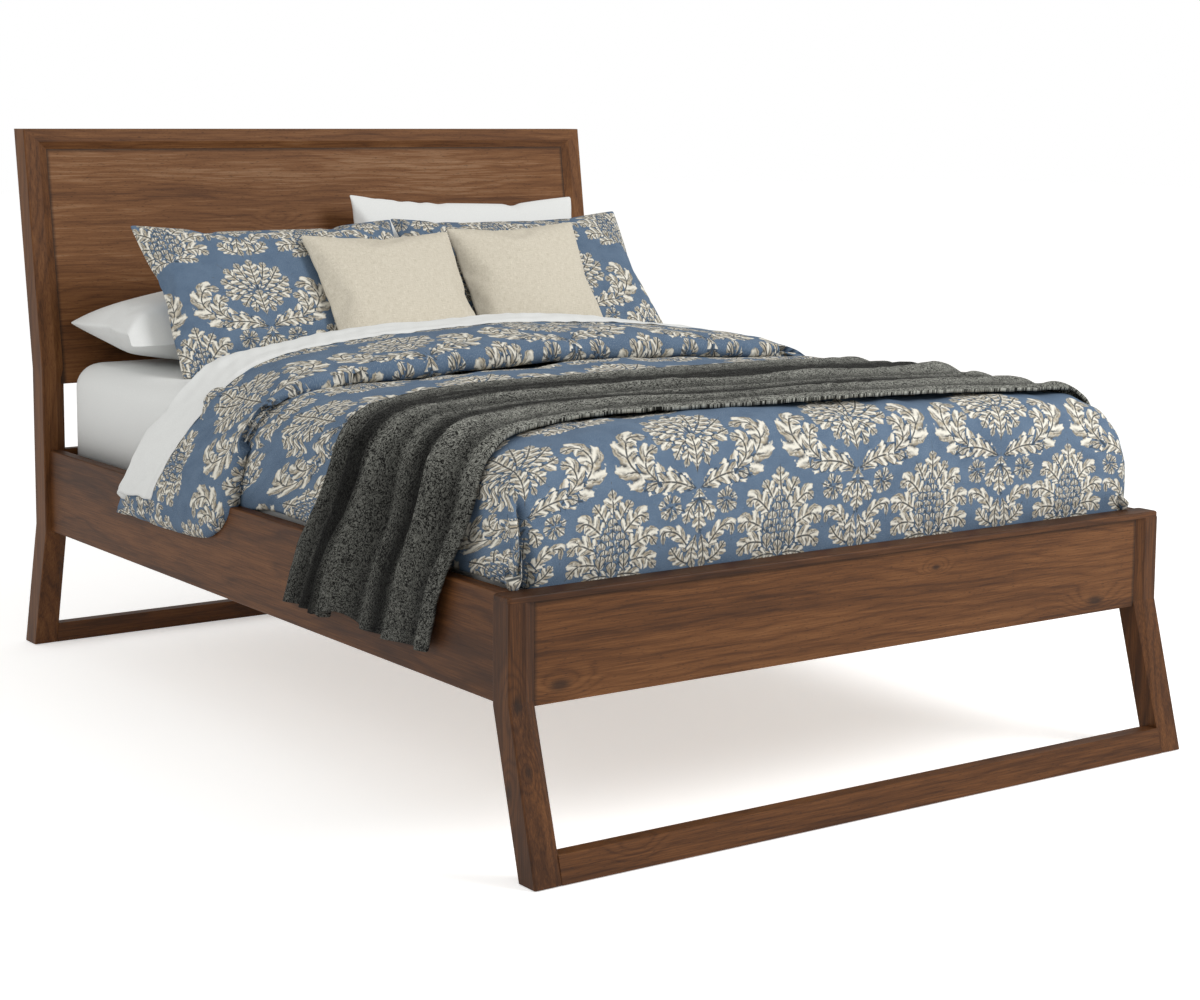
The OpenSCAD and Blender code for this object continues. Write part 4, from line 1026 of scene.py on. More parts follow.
def duvet_rows():
    """The quilt's key rows from the foot to the fold and back. Where it comes near the mattress or its
    own band, a row is a mixture of two sections."""
    main, band = main_section(), band_section(-QUILT)
    under = under_section(QUILT_GAP + QUILT, duvet_low.z)
    rows = [row(sink(main, FOOT_Z, share), FOOT + way, 0, 0) for way, share in FOOT_RISE]
    rows += [row(main, FOOT + way, 0, 0) for way in (0.3, 0.6, 0.8)]
    rows += [
        # down onto the mattress, under the band
        row(main, HEM - 0.05, 0, 0.2),
        row(main * 0.9 + under * 0.1 - np.array([0, 0.010]), HEM + 0.03),
        row(main * 0.6 + under * 0.4 - np.array([0, 0.012]), HEM + 0.10, 0.1),
        row(under + np.array([0.0, 0.008]), HEM + 0.22, 0.45),
        row(under + np.array([0.0, 0.004]), FOLD - 0.10, 0.80),
        row(under, TURN - 0.02, 1),
        # round the fold
        row(under * 0.80 + band * 0.20, TURN - 0.002, 1),
        row(under * 0.5 + band * 0.5, TURN + 0.004, 1),
        row(under * 0.2 + band * 0.8, TURN - 0.006, 1),
        row(band * 0.95 + under * 0.05, TURN - 0.035, 0.97),
        # back as the band
        row(band, TURN - 0.10, 0.82),
        row(band, TURN - 0.25, 0.45),
        row(band, HEM + 0.10),
        # down to the main part again, where its hem closes the crease
        row(band * 0.93 + main * 0.07, HEM + 0.045),
        row(band * 0.75 + main * 0.25, HEM + 0.016),
        row(band * 0.42 + main * 0.58 + np.array([0.004, 0.002]), HEM),
        row(band * 0.12 + main * 0.88 + np.array([0.010, 0.001]), HEM + 0.003),
        row(main + np.array([0.006, -0.003]), HEM + 0.022),
    ]
    return rows


print("key rows of the duvet:", len(duvet_rows()))

# %% [markdown]
# A smooth quilt looks like plastic, so the net gets soft waves of two lengths and, at the foot's near
# corner, the tuck that pushing it behind the rail leaves. Its loft could be a second sheet below.
# Solidify does it with less, and a vertex group lets the loft fall off towards the seams.

# %% Waves, print and loft


def duvet_net():
    """The net of the quilt's outside, with soft waves and a tuck at the foot's near corner."""
    points = relax(net(duvet_rows(), *DUVET_STEPS), DUVET_ROUNDING)
    u, v = lengths(points)
    soft = sum(height * ripple(u, v, wave, seed) for height, wave, seed in QUILT_WAVES)
    edge = np.clip(np.minimum(v, v.max() - v) / WAVE_FADE, 0, 1)
    beside = u - (TUCK_AT - TUCK_SLANT * np.maximum(0, v - 0.02) ** 1.5)
    tuck = -TUCK_DEPTH * np.exp(-((beside / TUCK_WIDTH) ** 2))
    height, place, width = TUCK_SWELL
    tuck += height * np.exp(-(((beside + place) / width) ** 2))
    tuck *= np.clip((TUCK_END - v) / WAVE_FADE, 0, 1)
    return points + normals(points) * (soft * edge + tuck)[..., None]


def make_duvet(material):
    points = duvet_net()
    u, v = lengths(points)
    duvet = grid_piece("duvet_quilt", points, (u, v))
    crease = v[-1][None] - v
    up = np.where(crease < BAND_PRINT, crease + BAND_PRINT_START, v)
    order = grid_order(*points.shape[:2])
    print_damask(duvet.data, (u - PALMETTE_AT)[order], up[order])
    face_up(duvet)
    thicken(duvet, QUILT)
    to_seam = np.minimum(np.minimum(v, v[-1][None] - v), np.minimum(u - u[:, :1], u[:, -1:] - u))
    thin_out(duvet, np.sqrt(np.clip(to_seam / SEAM_ROUNDING, 0.02, 1))[order])
    finish_piece(duvet, material, "damask_cotton", "duvet")
    print("duvet:", len(duvet.data.polygons), "faces")
    return points


duvet_points = make_duvet(damask)

# %% [markdown]
# Sheets and pillowcases are percale, a plain weave of fine cotton, and the mattress is covered in a
# ticking. Real percale has four or five threads to a millimetre. That is too fine to show, so its
# grain is drawn one millimetre wide and the ticking's two, and both only lighten and darken a little.

# %% Percale and ticking


def plain_cloth(name, dark, light, scale, bump_mm):
    """A cloth whose two colours alternate in a fine grain, scale in grains per metre."""
    material, tree = new_material(name)
    place = add(tree, "TexCoord").outputs["Object"]
    grain = add(tree, "TexNoise", Vector=place, Scale=scale, Detail=3, Roughness=0.6).outputs[0]
    mixed = add(tree, "MapRange", i0=grain, i1=0.35, i2=0.65)
    colour = add(tree, "MixRGB", Fac=mixed.outputs[0], Color1=linear(dark), Color2=linear(light))
    bump = add(tree, "Bump", Strength=0.5, Distance=bump_mm / 1000, Height=grain)
    shader = add(tree, "BsdfPrincipled", Base_Color=colour.outputs[0], Roughness=0.9,
                 Normal=bump.outputs[0])
    shader.inputs["Specular IOR Level"].default_value = 0.2
    add(tree, "OutputMaterial", Surface=shader.outputs[0])
    return material


cotton = plain_cloth("white_percale_cotton", "#dcdedd", "#e8e9e8", 900, 0.3)
ticking = plain_cloth("mattress_ticking_weave", "#cfcfcb", "#e2e2de", 500, 0.5)
print("cloths:", cotton.name, "and", ticking.name)

# %% [markdown]
# Mattress and fitted sheet are boxes with generously rounded edges, as foam is cut and then wrapped.
# A box could be rounded by subdividing it, but that draws the sides in. So it is a cube with its
# upright edges bevelled first and its top edges after. The sheet is a millimetre larger and open below.

# %% Mattress and fitted sheet
MATTRESS_CORNER = 0.084
MATTRESS_EDGE = 0.058
FITTED_OVER = 0.001
FITTED_THICKNESS = 0.0009
BEVEL_STEPS = 10
SAME_HEIGHT = 1e-5


def rounded_box(name, low, high, corner, top_edge, open_below):
    bm = bmesh.new()
    bmesh.ops.create_cube(bm, size=1)
    size = Vector(high) - Vector(low)
    middle = (Vector(high) + Vector(low)) / 2
    bmesh.ops.scale(bm, vec=size, verts=bm.verts)
    bmesh.ops.translate(bm, vec=middle, verts=bm.verts)
    upright = [e for e in bm.edges if abs(e.verts[0].co.z - e.verts[1].co.z) > size.z / 2]
    bmesh.ops.bevel(bm, geom=upright, offset=corner, affect="EDGES", segments=BEVEL_STEPS,
                    profile=0.5, material=-1)
    above = [e for e in bm.edges if all(abs(v.co.z - high[2]) < SAME_HEIGHT for v in e.verts)]
    bmesh.ops.bevel(bm, geom=above, offset=top_edge, affect="EDGES", segments=BEVEL_STEPS,
                    profile=0.5, material=-1)
    below = [f for f in bm.faces if all(abs(v.co.z - low[2]) < SAME_HEIGHT for v in f.verts)]
    if open_below:
        bmesh.ops.delete(bm, geom=below, context="FACES")
    for face in bm.faces:
        face.smooth = len(face.verts) == 4
    mesh = bpy.data.meshes.new(name)
    bm.to_mesh(mesh)
    bm.free()
    obj = bpy.data.objects.new(name, mesh)
    bpy.context.scene.collection.objects.link(obj)
    return obj


def make_mattress(cover, sheet_cloth):
    core = rounded_box("mattress_core", bed_low, bed_high, MATTRESS_CORNER, MATTRESS_EDGE, False)
    finish_piece(core, cover, "mattress_ticking", "mattress")
    low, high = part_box("fitted_sheet")
    corner, edge = MATTRESS_CORNER + FITTED_OVER, MATTRESS_EDGE + FITTED_OVER
    fitted = rounded_box("fitted_sheet_cotton", low, high, corner, edge, True)
    thicken(fitted, FITTED_THICKNESS)
    finish_piece(fitted, sheet_cloth, "white_cotton", "fitted_sheet")


make_mattress(ticking, cotton)

# %% [markdown]
# The flat sheet goes round the duvet's fold and lies back over it as a white strip. It could be drawn
# as a cloth of its own, but then it would cut into the quilt here and there. So it is laid on the
# quilt's own back: the same rows of the net, a few millimetres further out, from half a metre under
# the duvet to where the strip ends. Its side hems end a hand's breadth above the duvet's.

# %% Flat sheet
STRIP = 0.165
SHEET_UNDER = 0.55
SHEET_HEM = RAIL_TOP - 0.033
SHEET_GAP = 0.0035
SHEET_TURN_GAP = 0.010  # more of a gap round the fold
SHEET_TURN_REACH = 0.10
SHEET_THICKNESS = 0.0012
SHEET_ROUNDING = 15
SHEET_WAVES = (0.0011, 0.05, 21)  # height, wavelength, seed


def make_flat_sheet(duvet, material):
    v = lengths(duvet)[1]
    middle = duvet.shape[1] // 2
    turn = np.argmax(duvet[:, middle, 1])
    step = v[-1, middle] / (len(v) - 1)
    past_turn = (np.arange(len(duvet)) - turn) * step
    gap = SHEET_GAP + SHEET_TURN_GAP * np.exp(-((past_turn / SHEET_TURN_REACH) ** 2))
    back = duvet - normals(duvet) * (QUILT + gap)[:, None, None]
    lying = duvet - normals(duvet) * (QUILT + 0.5 * SHEET_GAP)
    first, last = turn - round(SHEET_UNDER / step), turn + round(STRIP / step)
    on_band = back[turn + round(0.5 * STRIP / step)]
    back[last - 2 :] = lying[last - 2 :]
    points = relax(back[first : last + 1, on_band[:, 2] > SHEET_HEM], SHEET_ROUNDING,
                   lengthwise=False)
    cu, cv = lengths(points)
    height, wave, seed = SHEET_WAVES
    points = points - normals(points) * (height * ripple(cu, cv, wave, seed))[..., None]
    sheet = grid_piece("flat_sheet_cotton", points, (cu, cv))
    face_up(sheet)
    thicken(sheet, SHEET_THICKNESS, 0)
    finish_piece(sheet, material, "white_cotton", "flat_sheet")


make_flat_sheet(duvet_points, cotton)

# %% [markdown]
# The throw is a charcoal fleece: a knitted ground brushed until it has a short pile. The pile stands in
# tufts of about eight millimetres, and each tuft catches light on one side, which speckles it. Hair
# could make the pile, but it doesn't go through an export. A noise that is warped by itself gives
# tufts of the same size and shape, in the normal, and in the colour as painted light and shade.

# %% Fleece
TUFTS, PATCHES = 125, 14  # to a metre: tufts of 8 mm, paler patches of 70


def fleece_pile():
    """The throw keeps a painted shading for each place, darker in its valleys and down its side, and the
    material multiplies its colour by it.
    """
    material, tree = new_material("charcoal_fleece_pile")
    place = add(tree, "UVMap", {"uv_map": "cloth"}).outputs[0]
    tufts = add(tree, "TexNoise", Vector=place, Scale=TUFTS, Detail=1, Roughness=0.6,
                Distortion=2.6).outputs[0]
    patches = add(tree, "TexNoise", Vector=place, Scale=PATCHES, Detail=3).outputs[0]
    level = add(tree, "Math", {"operation": "MULTIPLY_ADD"}, i0=patches, i1=0.10, i2=tufts)
    mixed = add(tree, "MapRange", i0=level.outputs[0], i1=0.47, i2=0.64)
    # the speckle between near black and pale grey is painted light and shade of the tufts
    painted_tuft_light = add(tree, "MixRGB", Fac=mixed.outputs[0], Color1=linear("#1b1b19"), Color2=linear("#a6a79f"))
    # the painted shading of the throw darkens its colour in the valleys and down the side
    light = add(tree, "Attribute", {"attribute_name": "painted_pile_shading"}).outputs["Fac"]
    colour = add(tree, "VectorMath", {"operation": "SCALE"}, i0=painted_tuft_light.outputs[0], Scale=light)
    bump = add(tree, "Bump", Strength=1.0, Distance=0.005, Height=tufts)
    shader = add(tree, "BsdfPrincipled", Base_Color=colour.outputs[0], Roughness=0.95,
                 Normal=bump.outputs[0])
    shader.inputs["Specular IOR Level"].default_value = 0.1
    shader.inputs["Sheen Weight"].default_value = 0.04
    add(tree, "OutputMaterial", Surface=shader.outputs[0])
    return material


fleece = fleece_pile()
print(fleece.name, "has", len(fleece.node_tree.nodes), "nodes")

# %% [markdown]
# The throw is pushed together lengthwise and lies across the bed in folds. Cloth could be dropped and
# pushed together by simulation, but its folds fall where they like. Here they lie where the real ones
# lie: the two edges are given at stations round the bed's section, and between them run the ridges,
# each with its own height and width. A ridge falls off steeply on its head side and leans over the
# valley there, which is what makes the valleys dark. The material adds painted shade as well: each
# place keeps a share of light, lower in a valley and where the pile hangs down the side.

# %% Throw
THROW_STEPS = (215, 225)
THROW_EDGES = np.array([  # way round the section from the middle, head edge, foot edge
    (-1.16, -0.235, -0.812), (-1.07, -0.272, -0.844), (-0.98, -0.318, -0.880), (-0.90, -0.370, -0.928),
    (-0.80, -0.395, -0.935), (-0.68, -0.363, -0.885), (-0.52, -0.300, -0.835), (-0.38, -0.301, -0.865),
    (-0.20, -0.340, -0.930), (0.00, -0.345, -0.950), (0.25, -0.318, -0.968), (0.48, -0.270, -0.950),
    (0.65, -0.220, -0.950), (0.85, -0.200, -0.930), (1.16, -0.150, -0.860),
])
RIDGES = [  # place at the near hem, near shoulder, middle, far hem; half width, height, lean
    ((0.06, 0.07, 0.07, 0.06), 0.036, 0.016, 0.3),
    ((0.19, 0.20, 0.22, 0.20), 0.034, 0.018, 0.5),
    ((0.30, 0.315, 0.35, 0.31), 0.034, 0.026, 0.6),
    ((0.42, 0.44, 0.50, 0.43), 0.052, 0.040, 0.7),
    ((0.60, 0.60, 0.66, 0.60), 0.044, 0.018, 0.5),
    ((0.76, 0.75, 0.80, 0.76), 0.048, 0.026, 0.5),
    ((0.95, 0.95, 0.95, 0.95), 0.034, 0.018, 0.2),
]
STEEP = 0.42  # the head side's width of a ridge, to the foot side's
FLATTER_ON_TOP = 0.32
RIDGE_STATIONS = (-1.16, -0.75, 0.0, 1.16)
RIDGE_STRAY = (0.012, 0.7, 31)  # how far, over which length, first seed
RIDGE_SWELL = (0.30, 0.45, 51)
RIDGE_TURN = 20
ON_TOP, DOWN_SIDE = 0.55, 0.85  # way from the middle where ridges are flatter, and where full
THROW_THICKNESS = 0.007
THROW_LENGTH = 0.6  # along the bed, about
THROW_GAP = 0.004
THROW_OVER_RAIL = ((0.008, -0.02), (-0.004, 0.035))  # out from the rail's face, up from its top
THROW_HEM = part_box("throw_blanket")[0].z - 0.010
PILE_WAVES = (0.0014, 0.05, 71)  # height, wavelength, seed
# the next seven set the throw's painted shade: dark valleys behind the ridges, and the pile hanging down the
# side
DEEP_RIDGE = 0.026  # the height of a ridge with a fully dark valley behind it
VALLEY_BEHIND = 2.0  # where a valley is darkest, in heights of its ridge
VALLEY_REACH = (0.030, 0.6)  # metres towards the next ridge, heights towards its own
VALLEY_PAINTED_SHADE = 0.90
HANGING_PAINTED_SHADE = 0.58
HANG_START = TOP + 0.04
HANG_FADE = 0.12
HEM_LIFT = (0.022, 0.48, 0.07)  # how high, and at and over which share of the throw's length
HEM_LIFT_WAY = (0.9, 1.15)  # from the middle, where it starts and where it is full
print("ridges of the throw:", len(RIDGES))

# %% [markdown]
# The throw follows the duvet's section and then goes over the rail. Each ridge is a bell curve along
# the bed, steeper towards the head, that strays and swells a little on its way across.

# %% Section and ridges of the throw


def throw_section():
    """The line that the throw follows over the bed, and the way along it from the middle."""
    base = main_section(THROW_GAP)
    base[0] = (RAIL_OUT + THROW_OVER_RAIL[0][0], THROW_HEM)
    for k, (out, up) in enumerate(THROW_OVER_RAIL):
        base[k + 1] = (RAIL_OUT + out, RAIL_TOP + up)
    line = spread(whole(base), THROW_STEPS[1])
    line = relax(line[None].repeat(3, axis=0), 6, lengthwise=False)[1]
    steps = np.linalg.norm(np.diff(line, axis=0), axis=1)
    way = np.concatenate([[0], np.cumsum(steps)])
    return line, way - way[-1] / 2


def throw_ridges(way, share, length):
    """Height of the folds, how far they lean to the head, and how much painted shade the valleys get."""
    height, shift, dark = np.zeros((3,) + share.shape)
    steepness = ease((np.abs(way) - ON_TOP) / (DOWN_SIDE - ON_TOP))
    full = FLATTER_ON_TOP + (1 - FLATTER_ON_TOP) * steepness
    for k, (places, half, high, lean) in enumerate(RIDGES):
        far, wave, seed = RIDGE_STRAY
        stray = far * ripple(way, way * 0 + k, wave, seed + k, RIDGE_TURN)
        place = np.interp(way, RIDGE_STATIONS, places) + stray
        more, wave, seed = RIDGE_SWELL
        swell = full * (1 + more * ripple(way, way * 0 + k, wave, seed + k, RIDGE_TURN))
        past = (share - place[None]) * length[None]
        near = past / half
        near = np.where(near < 0, near / STEEP, near)
        hump = high * swell[None] * np.exp(-near ** 2)
        height += hump
        shift += lean * hump
        # the painted shade of a valley is darkest close behind its ridge, which leans over it, and clears
        # towards the next
        behind = past + VALLEY_BEHIND * high
        reach = np.where(behind < 0, VALLEY_REACH[0], VALLEY_REACH[1] * high)
        dark += high / DEEP_RIDGE * np.exp(-((behind / reach) ** 2))
    return height, shift, np.clip(dark, 0, 1)


print("way over the bed under the throw:", round(2 * throw_section()[1][-1], 2), "m")

# %% [markdown]
# The net is laid along the section between the throw's two edges, and lifted by its ridges along the
# outward normal. The painted shade of each place goes onto the mesh as an attribute, which the fleece reads.

# %% The throw itself


def throw_net():
    """The net of the throw's upper side, and the painted shading of each of its places."""
    line, way = throw_section()
    edges = np.stack([np.interp(way, THROW_EDGES[:, 0], THROW_EDGES[:, k]) for k in (1, 2)], axis=1)
    head, foot = relax(edges[None].repeat(3, axis=0), 60, lengthwise=False)[1].T
    share = np.linspace(0, 1, THROW_STEPS[0])[:, None].repeat(len(way), axis=1)
    height, shift, dark = throw_ridges(way, share, head - foot)
    high, wave, seed = PILE_WAVES
    fine = high * ripple(way[None] + 0 * share, share * THROW_LENGTH, wave, seed)
    points = np.empty(share.shape + (3,))
    points[..., 0] = line[None, :, 0]
    points[..., 1] = head[None] + share * (foot - head)[None] + shift
    points[..., 2] = line[None, :, 1]
    turn = np.gradient(line, axis=0)
    out = np.stack([-turn[:, 1], 0 * way, turn[:, 0]], axis=1)
    out /= np.linalg.norm(out, axis=1, keepdims=True)
    points += out[None] * (height + THROW_GAP + fine)[..., None]
    # between the fourth and the fifth ridge the hem hangs a little higher
    lift, place, width = HEM_LIFT
    at_hem = np.interp(np.abs(way), HEM_LIFT_WAY, (0, 1))[None]
    points[..., 2] += lift * at_hem * np.exp(-(((share - place) / width) ** 2))
    # painted shade: the pile that hangs down the side and the valleys behind the ridges are darkened
    hanging = np.clip((HANG_START - line[:, 1]) / HANG_FADE, 0, 1)[None]
    return points, (1 - HANGING_PAINTED_SHADE * hanging) * (1 - VALLEY_PAINTED_SHADE * dark)


def make_throw(material):
    points, light = throw_net()
    points = relax(points, 1)
    uv = lengths(points)
    throw = grid_piece("throw_blanket_pile", points, uv)
    kept = throw.data.attributes.new("painted_pile_shading", "FLOAT", "POINT")
    kept.data.foreach_set("value", light[grid_order(*light.shape)].astype(np.float32))
    face_up(throw)
    thicken(throw, THROW_THICKNESS)
    finish_piece(throw, material, "charcoal_throw", "throw_blanket")


make_throw(fleece)

# %% [markdown]
# Pillows are sewn flat and filled after. A cube could be rounded into one, but its seam would be a
# smooth line. So they are made as they are in life: two panels sewn at the rim, blown up by Cloth with
# pressure. The seam pulls in between the corners and puckers by itself. The finished pillow is then
# scaled to size, leaned and pressed against what it rests on.

# %% Panels of a pillow
PANEL_GAP = 0.006
SEAM_DRAW = (1.05, 1.06)  # the cut is larger than the pillow, as filling draws its seams in


def sewn_panels(name, width, height, columns, rows):
    """Two panels joined at the rim. Each corner keeps its flat place, for straight seams and the print."""
    bm = bmesh.new()
    bmesh.ops.create_grid(bm, x_segments=columns, y_segments=rows, size=0.5)
    bmesh.ops.scale(bm, vec=(width, height, 1), verts=bm.verts)
    layer = bm.loops.layers.uv.new("cloth")
    for face in bm.faces:
        for corner in face.loops:
            corner[layer].uv = corner.vert.co.xy
    bmesh.ops.solidify(bm, geom=bm.faces[:], thickness=PANEL_GAP)
    flat = bm.verts.layers.float_vector.new("flat")
    for v in bm.verts:
        v[flat] = v.co
    for face in bm.faces:
        face.smooth = True
    bmesh.ops.recalc_face_normals(bm, faces=bm.faces)
    mesh = bpy.data.meshes.new(name)
    bm.to_mesh(mesh)
    bm.free()
    obj = bpy.data.objects.new(name, mesh)
    bpy.context.scene.collection.objects.link(obj)
    return obj


print("panels are cut", SEAM_DRAW, "times as wide and high as the pillow")

# %% [markdown]
# Cloth blows the panels up over a few frames, without gravity, as the filling carries itself. It ends
# a millimetre or two differently each time.

# %% Filling the panels
PRESSURE = 3.0
CLOTH_STIFFNESS = 14
FILL_FRAMES = 24


def corners_of(obj):
    co = np.empty(len(obj.data.vertices) * 3)
    obj.data.vertices.foreach_get("co", co)
    return co.reshape(-1, 3)


def flat_corners(obj):
    """Where each corner lay on the flat panels."""
    flat = np.empty(len(obj.data.vertices) * 3)
    obj.data.attributes["flat"].data.foreach_get("vector", flat)
    return flat.reshape(-1, 3)


def put_corners(obj, co):
    obj.data.vertices.foreach_set("co", np.asarray(co, float).ravel())
    obj.data.update()


def blow_up(obj):
    cloth = obj.modifiers.new("Cloth", "CLOTH")
    cloth.settings.quality = 6
    cloth.settings.mass = 0.25
    cloth.settings.tension_stiffness = CLOTH_STIFFNESS
    cloth.settings.compression_stiffness = CLOTH_STIFFNESS
    cloth.settings.bending_stiffness = 0.35
    cloth.settings.air_damping = 4
    cloth.settings.use_pressure = True
    cloth.settings.uniform_pressure_force = PRESSURE
    cloth.settings.effector_weights.gravity = 0
    cloth.collision_settings.use_collision = False
    cloth.point_cache.frame_start = 1
    cloth.point_cache.frame_end = FILL_FRAMES
    for at in range(1, FILL_FRAMES + 1):
        bpy.context.scene.frame_set(at)
    graph = bpy.context.evaluated_depsgraph_get()
    co = corners_of(obj.evaluated_get(graph))
    obj.modifiers.remove(cloth)
    bpy.context.scene.frame_set(1)
    put_corners(obj, co)


print("a pillow is blown up in", FILL_FRAMES, "frames of cloth")

# %% [markdown]
# What comes out of the simulation is a little off in size, and its seams are drawn in as far as thin
# cloth would let them. Firm covers hold straighter seams, so a share of that is taken back. One
# round of subdivision makes it fine enough for the print.

# %% Size and firmness


def sized(obj, width, height, thickness):
    co = corners_of(obj)
    co -= (co.max(axis=0) + co.min(axis=0)) / 2
    co *= np.array([width, height, thickness]) / (co.max(axis=0) - co.min(axis=0))
    put_corners(obj, co)


def straighten(obj, share):
    """Takes back a share of how far the filling has drawn the seams in, as firm fabric does."""
    co, flat = corners_of(obj), flat_corners(obj)
    for k in (0, 1):
        scale = (co[:, k].max() - co[:, k].min()) / (flat[:, k].max() - flat[:, k].min())
        co[:, k] = (1 - share) * co[:, k] + share * flat[:, k] * scale
    put_corners(obj, co)


def refine(obj):
    """Makes the mesh finer and rounder for good, so that a print can be laid on its corners."""
    smooth = obj.modifiers.new("Subdivision", "SUBSURF")
    smooth.levels = smooth.render_levels = 1
    graph = bpy.context.evaluated_depsgraph_get()
    fine = bpy.data.meshes.new_from_object(obj.evaluated_get(graph))
    obj.modifiers.remove(smooth)
    obj.data = fine


def filled_pillow(name, size, columns, rows, firm):
    """firm is how far the fabric keeps its seams straight against the filling."""
    width, height, thickness = size
    cut = width * SEAM_DRAW[0], height * SEAM_DRAW[1]
    obj = sewn_panels(name, *cut, columns, rows)
    blow_up(obj)
    straighten(obj, firm)
    sized(obj, width, height, thickness)
    refine(obj)
    return obj


print("each pillow: panels, filling, straight seams, size, finer mesh")

# %% [markdown]
# Pillows lean on each other, on the headboard and on the bed. All of them could be dropped in one
# simulation, but that is slow, and they would come to lie elsewhere each time. It is enough to lean
# each at its angle and to press it flat where it meets a plane: the bed, the headboard, or the front or
# back of a sham.

# %% Leaning and pressing a pillow
PRESS_SOFTNESS = 0.006


def lean(obj, angle_deg, roll_deg, centre):
    """Upright is zero degrees; the pillow leans back towards the head and turns in its plane."""
    a, r = math.radians(angle_deg), math.radians(roll_deg)
    co = corners_of(obj)
    x = co[:, 0] * math.cos(r) - co[:, 1] * math.sin(r)
    h = co[:, 0] * math.sin(r) + co[:, 1] * math.cos(r)
    z = co[:, 2]
    out = np.stack([x, h * math.sin(a) - z * math.cos(a), h * math.cos(a) + z * math.sin(a)], axis=1)
    put_corners(obj, out + np.array(centre))


def press(obj, planes):
    """Moves what lies behind a plane onto it, softly, so that no hard crease marks its edge."""
    co = corners_of(obj)
    for point, normal in planes:
        n = np.array(normal) / np.linalg.norm(normal)
        s = (co - np.array(point)) @ n
        eased = PRESS_SOFTNESS * np.logaddexp(0, s / PRESS_SOFTNESS)
        co += np.outer(eased - s, n)
    put_corners(obj, co)


def lean_axes(angle_deg):
    """Which way is up along a leaning pillow, and which way is out of its front."""
    a = math.radians(angle_deg)
    return np.array([0, math.sin(a), math.cos(a)]), np.array([0, -math.cos(a), math.sin(a)])


SHAM_LEAN = 39.4
SHAM_FLAT = 0.058  # half of a sham's thickness where something lies against it
SHAM_UP, SHAM_FRONT = lean_axes(SHAM_LEAN)
SHAM_FOOT = {"left": HEAD_RAIL - 0.505, "right": HEAD_RAIL - 0.434}
BED_PLANE = ((0, 0, TOP + 0.002), (0, 0, 1))
HEADBOARD_LEAN = 8.3
BOARD_PLANE = ((0, HEAD_RAIL - 0.001, 0.704), lean_axes(HEADBOARD_LEAN)[1])
FOLD_PLANE = ((0, FOLD + 0.012, 0), (0, 1, 0))


def sham_plane(side, distance, facing):
    """The plane in front of a sham's middle (or behind it, if distance is negative)."""
    point = np.array([0, SHAM_FOOT[side], TOP]) + distance * SHAM_FRONT
    return point, facing * SHAM_FRONT


print("shams lean at", SHAM_LEAN, "degrees, the headboard at", HEADBOARD_LEAN)

# %% [markdown]
# Two shams of the duvet's own damask lean in front of the sleeping pillows. A picture could be shone
# on them from the front, but a cover is printed before it is sewn. So the print goes by each corner's
# place on the flat panels, which the mesh has kept through the blowing up.

# %% Shams
SHAM_SIZE = (0.716, 0.452, 0.140)
SHAM_SINK = 0.005  # how far its lower seam sinks into the bed
SHAM_PLACES = {  # across the bed, turn in its plane, where on the print the middle of its panel lies
    "left": (-0.324, 0, (0.12, 0.285)),
    "right": (0.434, 0.6, (-0.10, 0.285)),
}


def make_sham(side, material):
    x, roll, print_at = SHAM_PLACES[side]
    sham = filled_pillow("sham_%s_cover" % side, SHAM_SIZE, 72, 46, 0.4)
    flat = flat_corners(sham)
    print_damask(sham.data, flat[:, 0] + print_at[0], flat[:, 1] + print_at[1])
    centre = np.array([x, SHAM_FOOT[side], TOP]) + SHAM_UP * (SHAM_SIZE[1] / 2 - SHAM_SINK)
    lean(sham, SHAM_LEAN, roll, centre)
    press(sham, [BED_PLANE, sham_plane(side, -SHAM_FLAT, 1), sham_plane(side, SHAM_FLAT, -1)])
    finish_piece(sham, material, "damask_cotton", "sham_" + side)
    print(sham.name, "has", len(sham.data.polygons), "faces")


for side in SHAM_PLACES:
    make_sham(side, damask)

# %% [markdown]
# The square cushions are covered in natural linen. Flax yarn is uneven, so both threads show slubs a
# millimetre wide and 17 long, which is what tells linen from cotton. A real weave of threads would be
# too fine to show. Two noises are enough, each stretched along one side of the cloth.

# %% Linen
SLUBS = ((60, 900, 1), (900, 60, 1))  # to a metre, along both threads


def woven_linen():
    material, tree = new_material("natural_linen_weave")
    place = add(tree, "UVMap", {"uv_map": "cloth"}).outputs[0]
    slubs = []
    for stretch in SLUBS:
        thread = add(tree, "Mapping", Vector=place, Scale=stretch).outputs[0]
        slubs.append(add(tree, "TexNoise", Vector=thread, Scale=1, Detail=2).outputs[0])
    both = add(tree, "Math", {"operation": "ADD"}, i0=slubs[0], i1=slubs[1])
    mixed = add(tree, "MapRange", i0=both.outputs[0], i1=0.75, i2=1.25)
    colour = add(tree, "MixRGB", Fac=mixed.outputs[0], Color1=linear("#c2baa8"), Color2=linear("#dcd5c6"))
    bump = add(tree, "Bump", Strength=0.6, Distance=0.0008, Height=both.outputs[0])
    shader = add(tree, "BsdfPrincipled", Base_Color=colour.outputs[0], Roughness=0.92,
                 Normal=bump.outputs[0])
    shader.inputs["Specular IOR Level"].default_value = 0.2
    add(tree, "OutputMaterial", Surface=shader.outputs[0])
    return material


linen = woven_linen()
print(linen.name, "has", len(linen.node_tree.nodes), "nodes")

# %% [markdown]
# The cushions stand in front of the shams, a firm square each, pressed against its sham and at the
# foot against the duvet's fold. The right one stands more upright than its sham, as in the photograph.

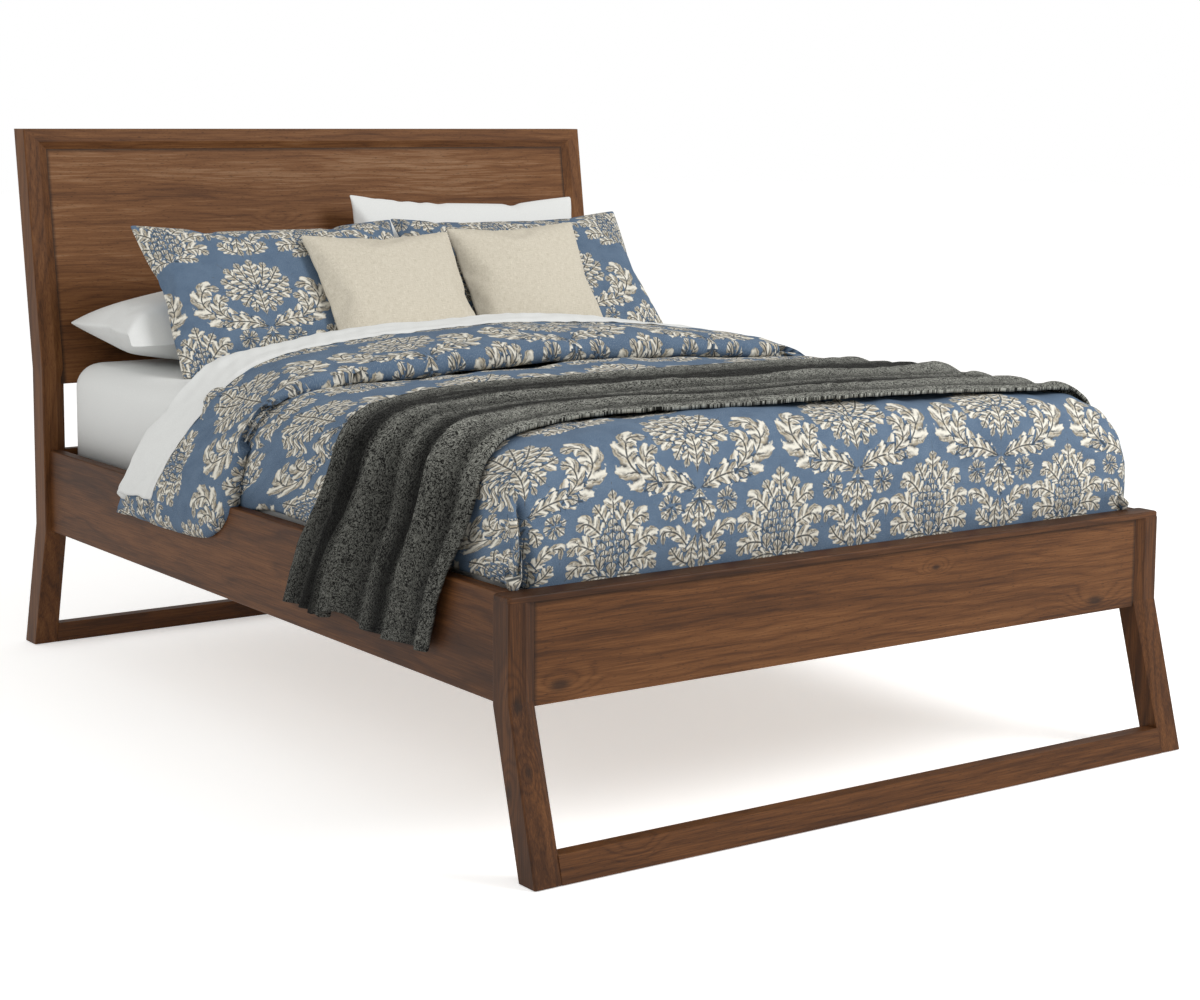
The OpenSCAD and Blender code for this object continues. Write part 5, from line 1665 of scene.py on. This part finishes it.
# %% Cushions
CUSHIONS = {  # size, lean, across the bed, turn in its plane
    "left": ((0.420, 0.398, 0.130), SHAM_LEAN, -0.082, 0),
    "right": ((0.394, 0.380, 0.130), SHAM_LEAN - 9, 0.352, 2),
}
CUSHION_OUT = SHAM_FLAT + 0.022
CUSHION_UP = 0.146


def make_cushion(side, material):
    size, angle, x, roll = CUSHIONS[side]
    cushion = filled_pillow("cushion_%s_cover" % side, size, 44, 42, 0.6)
    centre = np.array([x, SHAM_FOOT[side], TOP]) + CUSHION_OUT * SHAM_FRONT + SHAM_UP * CUSHION_UP
    lean(cushion, angle, roll, centre)
    press(cushion, [BED_PLANE, FOLD_PLANE, sham_plane(side, SHAM_FLAT + 0.001, 1)])
    finish_piece(cushion, material, "linen_cushion", "cushion_" + side)
    print(cushion.name, "has", len(cushion.data.polygons), "faces")


for side in CUSHIONS:
    make_cushion(side, linen)

# %% [markdown]
# Behind the shams are the two pillows one sleeps on. The left one lies flat and the right one stands,
# so only the right one's top edge and the left one's end are seen.

# %% Pillows
LYING_SIZE = (0.72, 0.40, 0.190)
STANDING_SIZE = (0.70, 0.43, 0.226)
STANDING_LEAN = 10
STANDING_FOOT = np.array([0.368, HEAD_RAIL - 0.110, TOP - 0.025])
PILLOWS = (  # side, size, columns, rows, firmness, lean, turn in its plane, centre
    ("left", LYING_SIZE, 64, 36, 0.7, 90, 0,
     (-0.39, HEAD_RAIL - LYING_SIZE[1] / 2 - 0.006, TOP + 0.097)),
    ("right", STANDING_SIZE, 64, 40, 0.55, STANDING_LEAN, -1.5,
     STANDING_FOOT + STANDING_SIZE[1] / 2 * lean_axes(STANDING_LEAN)[0]),
)
for side, size, columns, rows, firm, angle, roll, centre in PILLOWS:
    pillow = filled_pillow("pillow_%s_cover" % side, size, columns, rows, firm)
    lean(pillow, angle, roll, centre)
    press(pillow, [sham_plane(side, -SHAM_FLAT - 0.001, -1), BOARD_PLANE, BED_PLANE])
    finish_piece(pillow, cotton, "white_cotton", "pillow_" + side)
    print(pillow.name, "has", len(pillow.data.polygons), "faces")
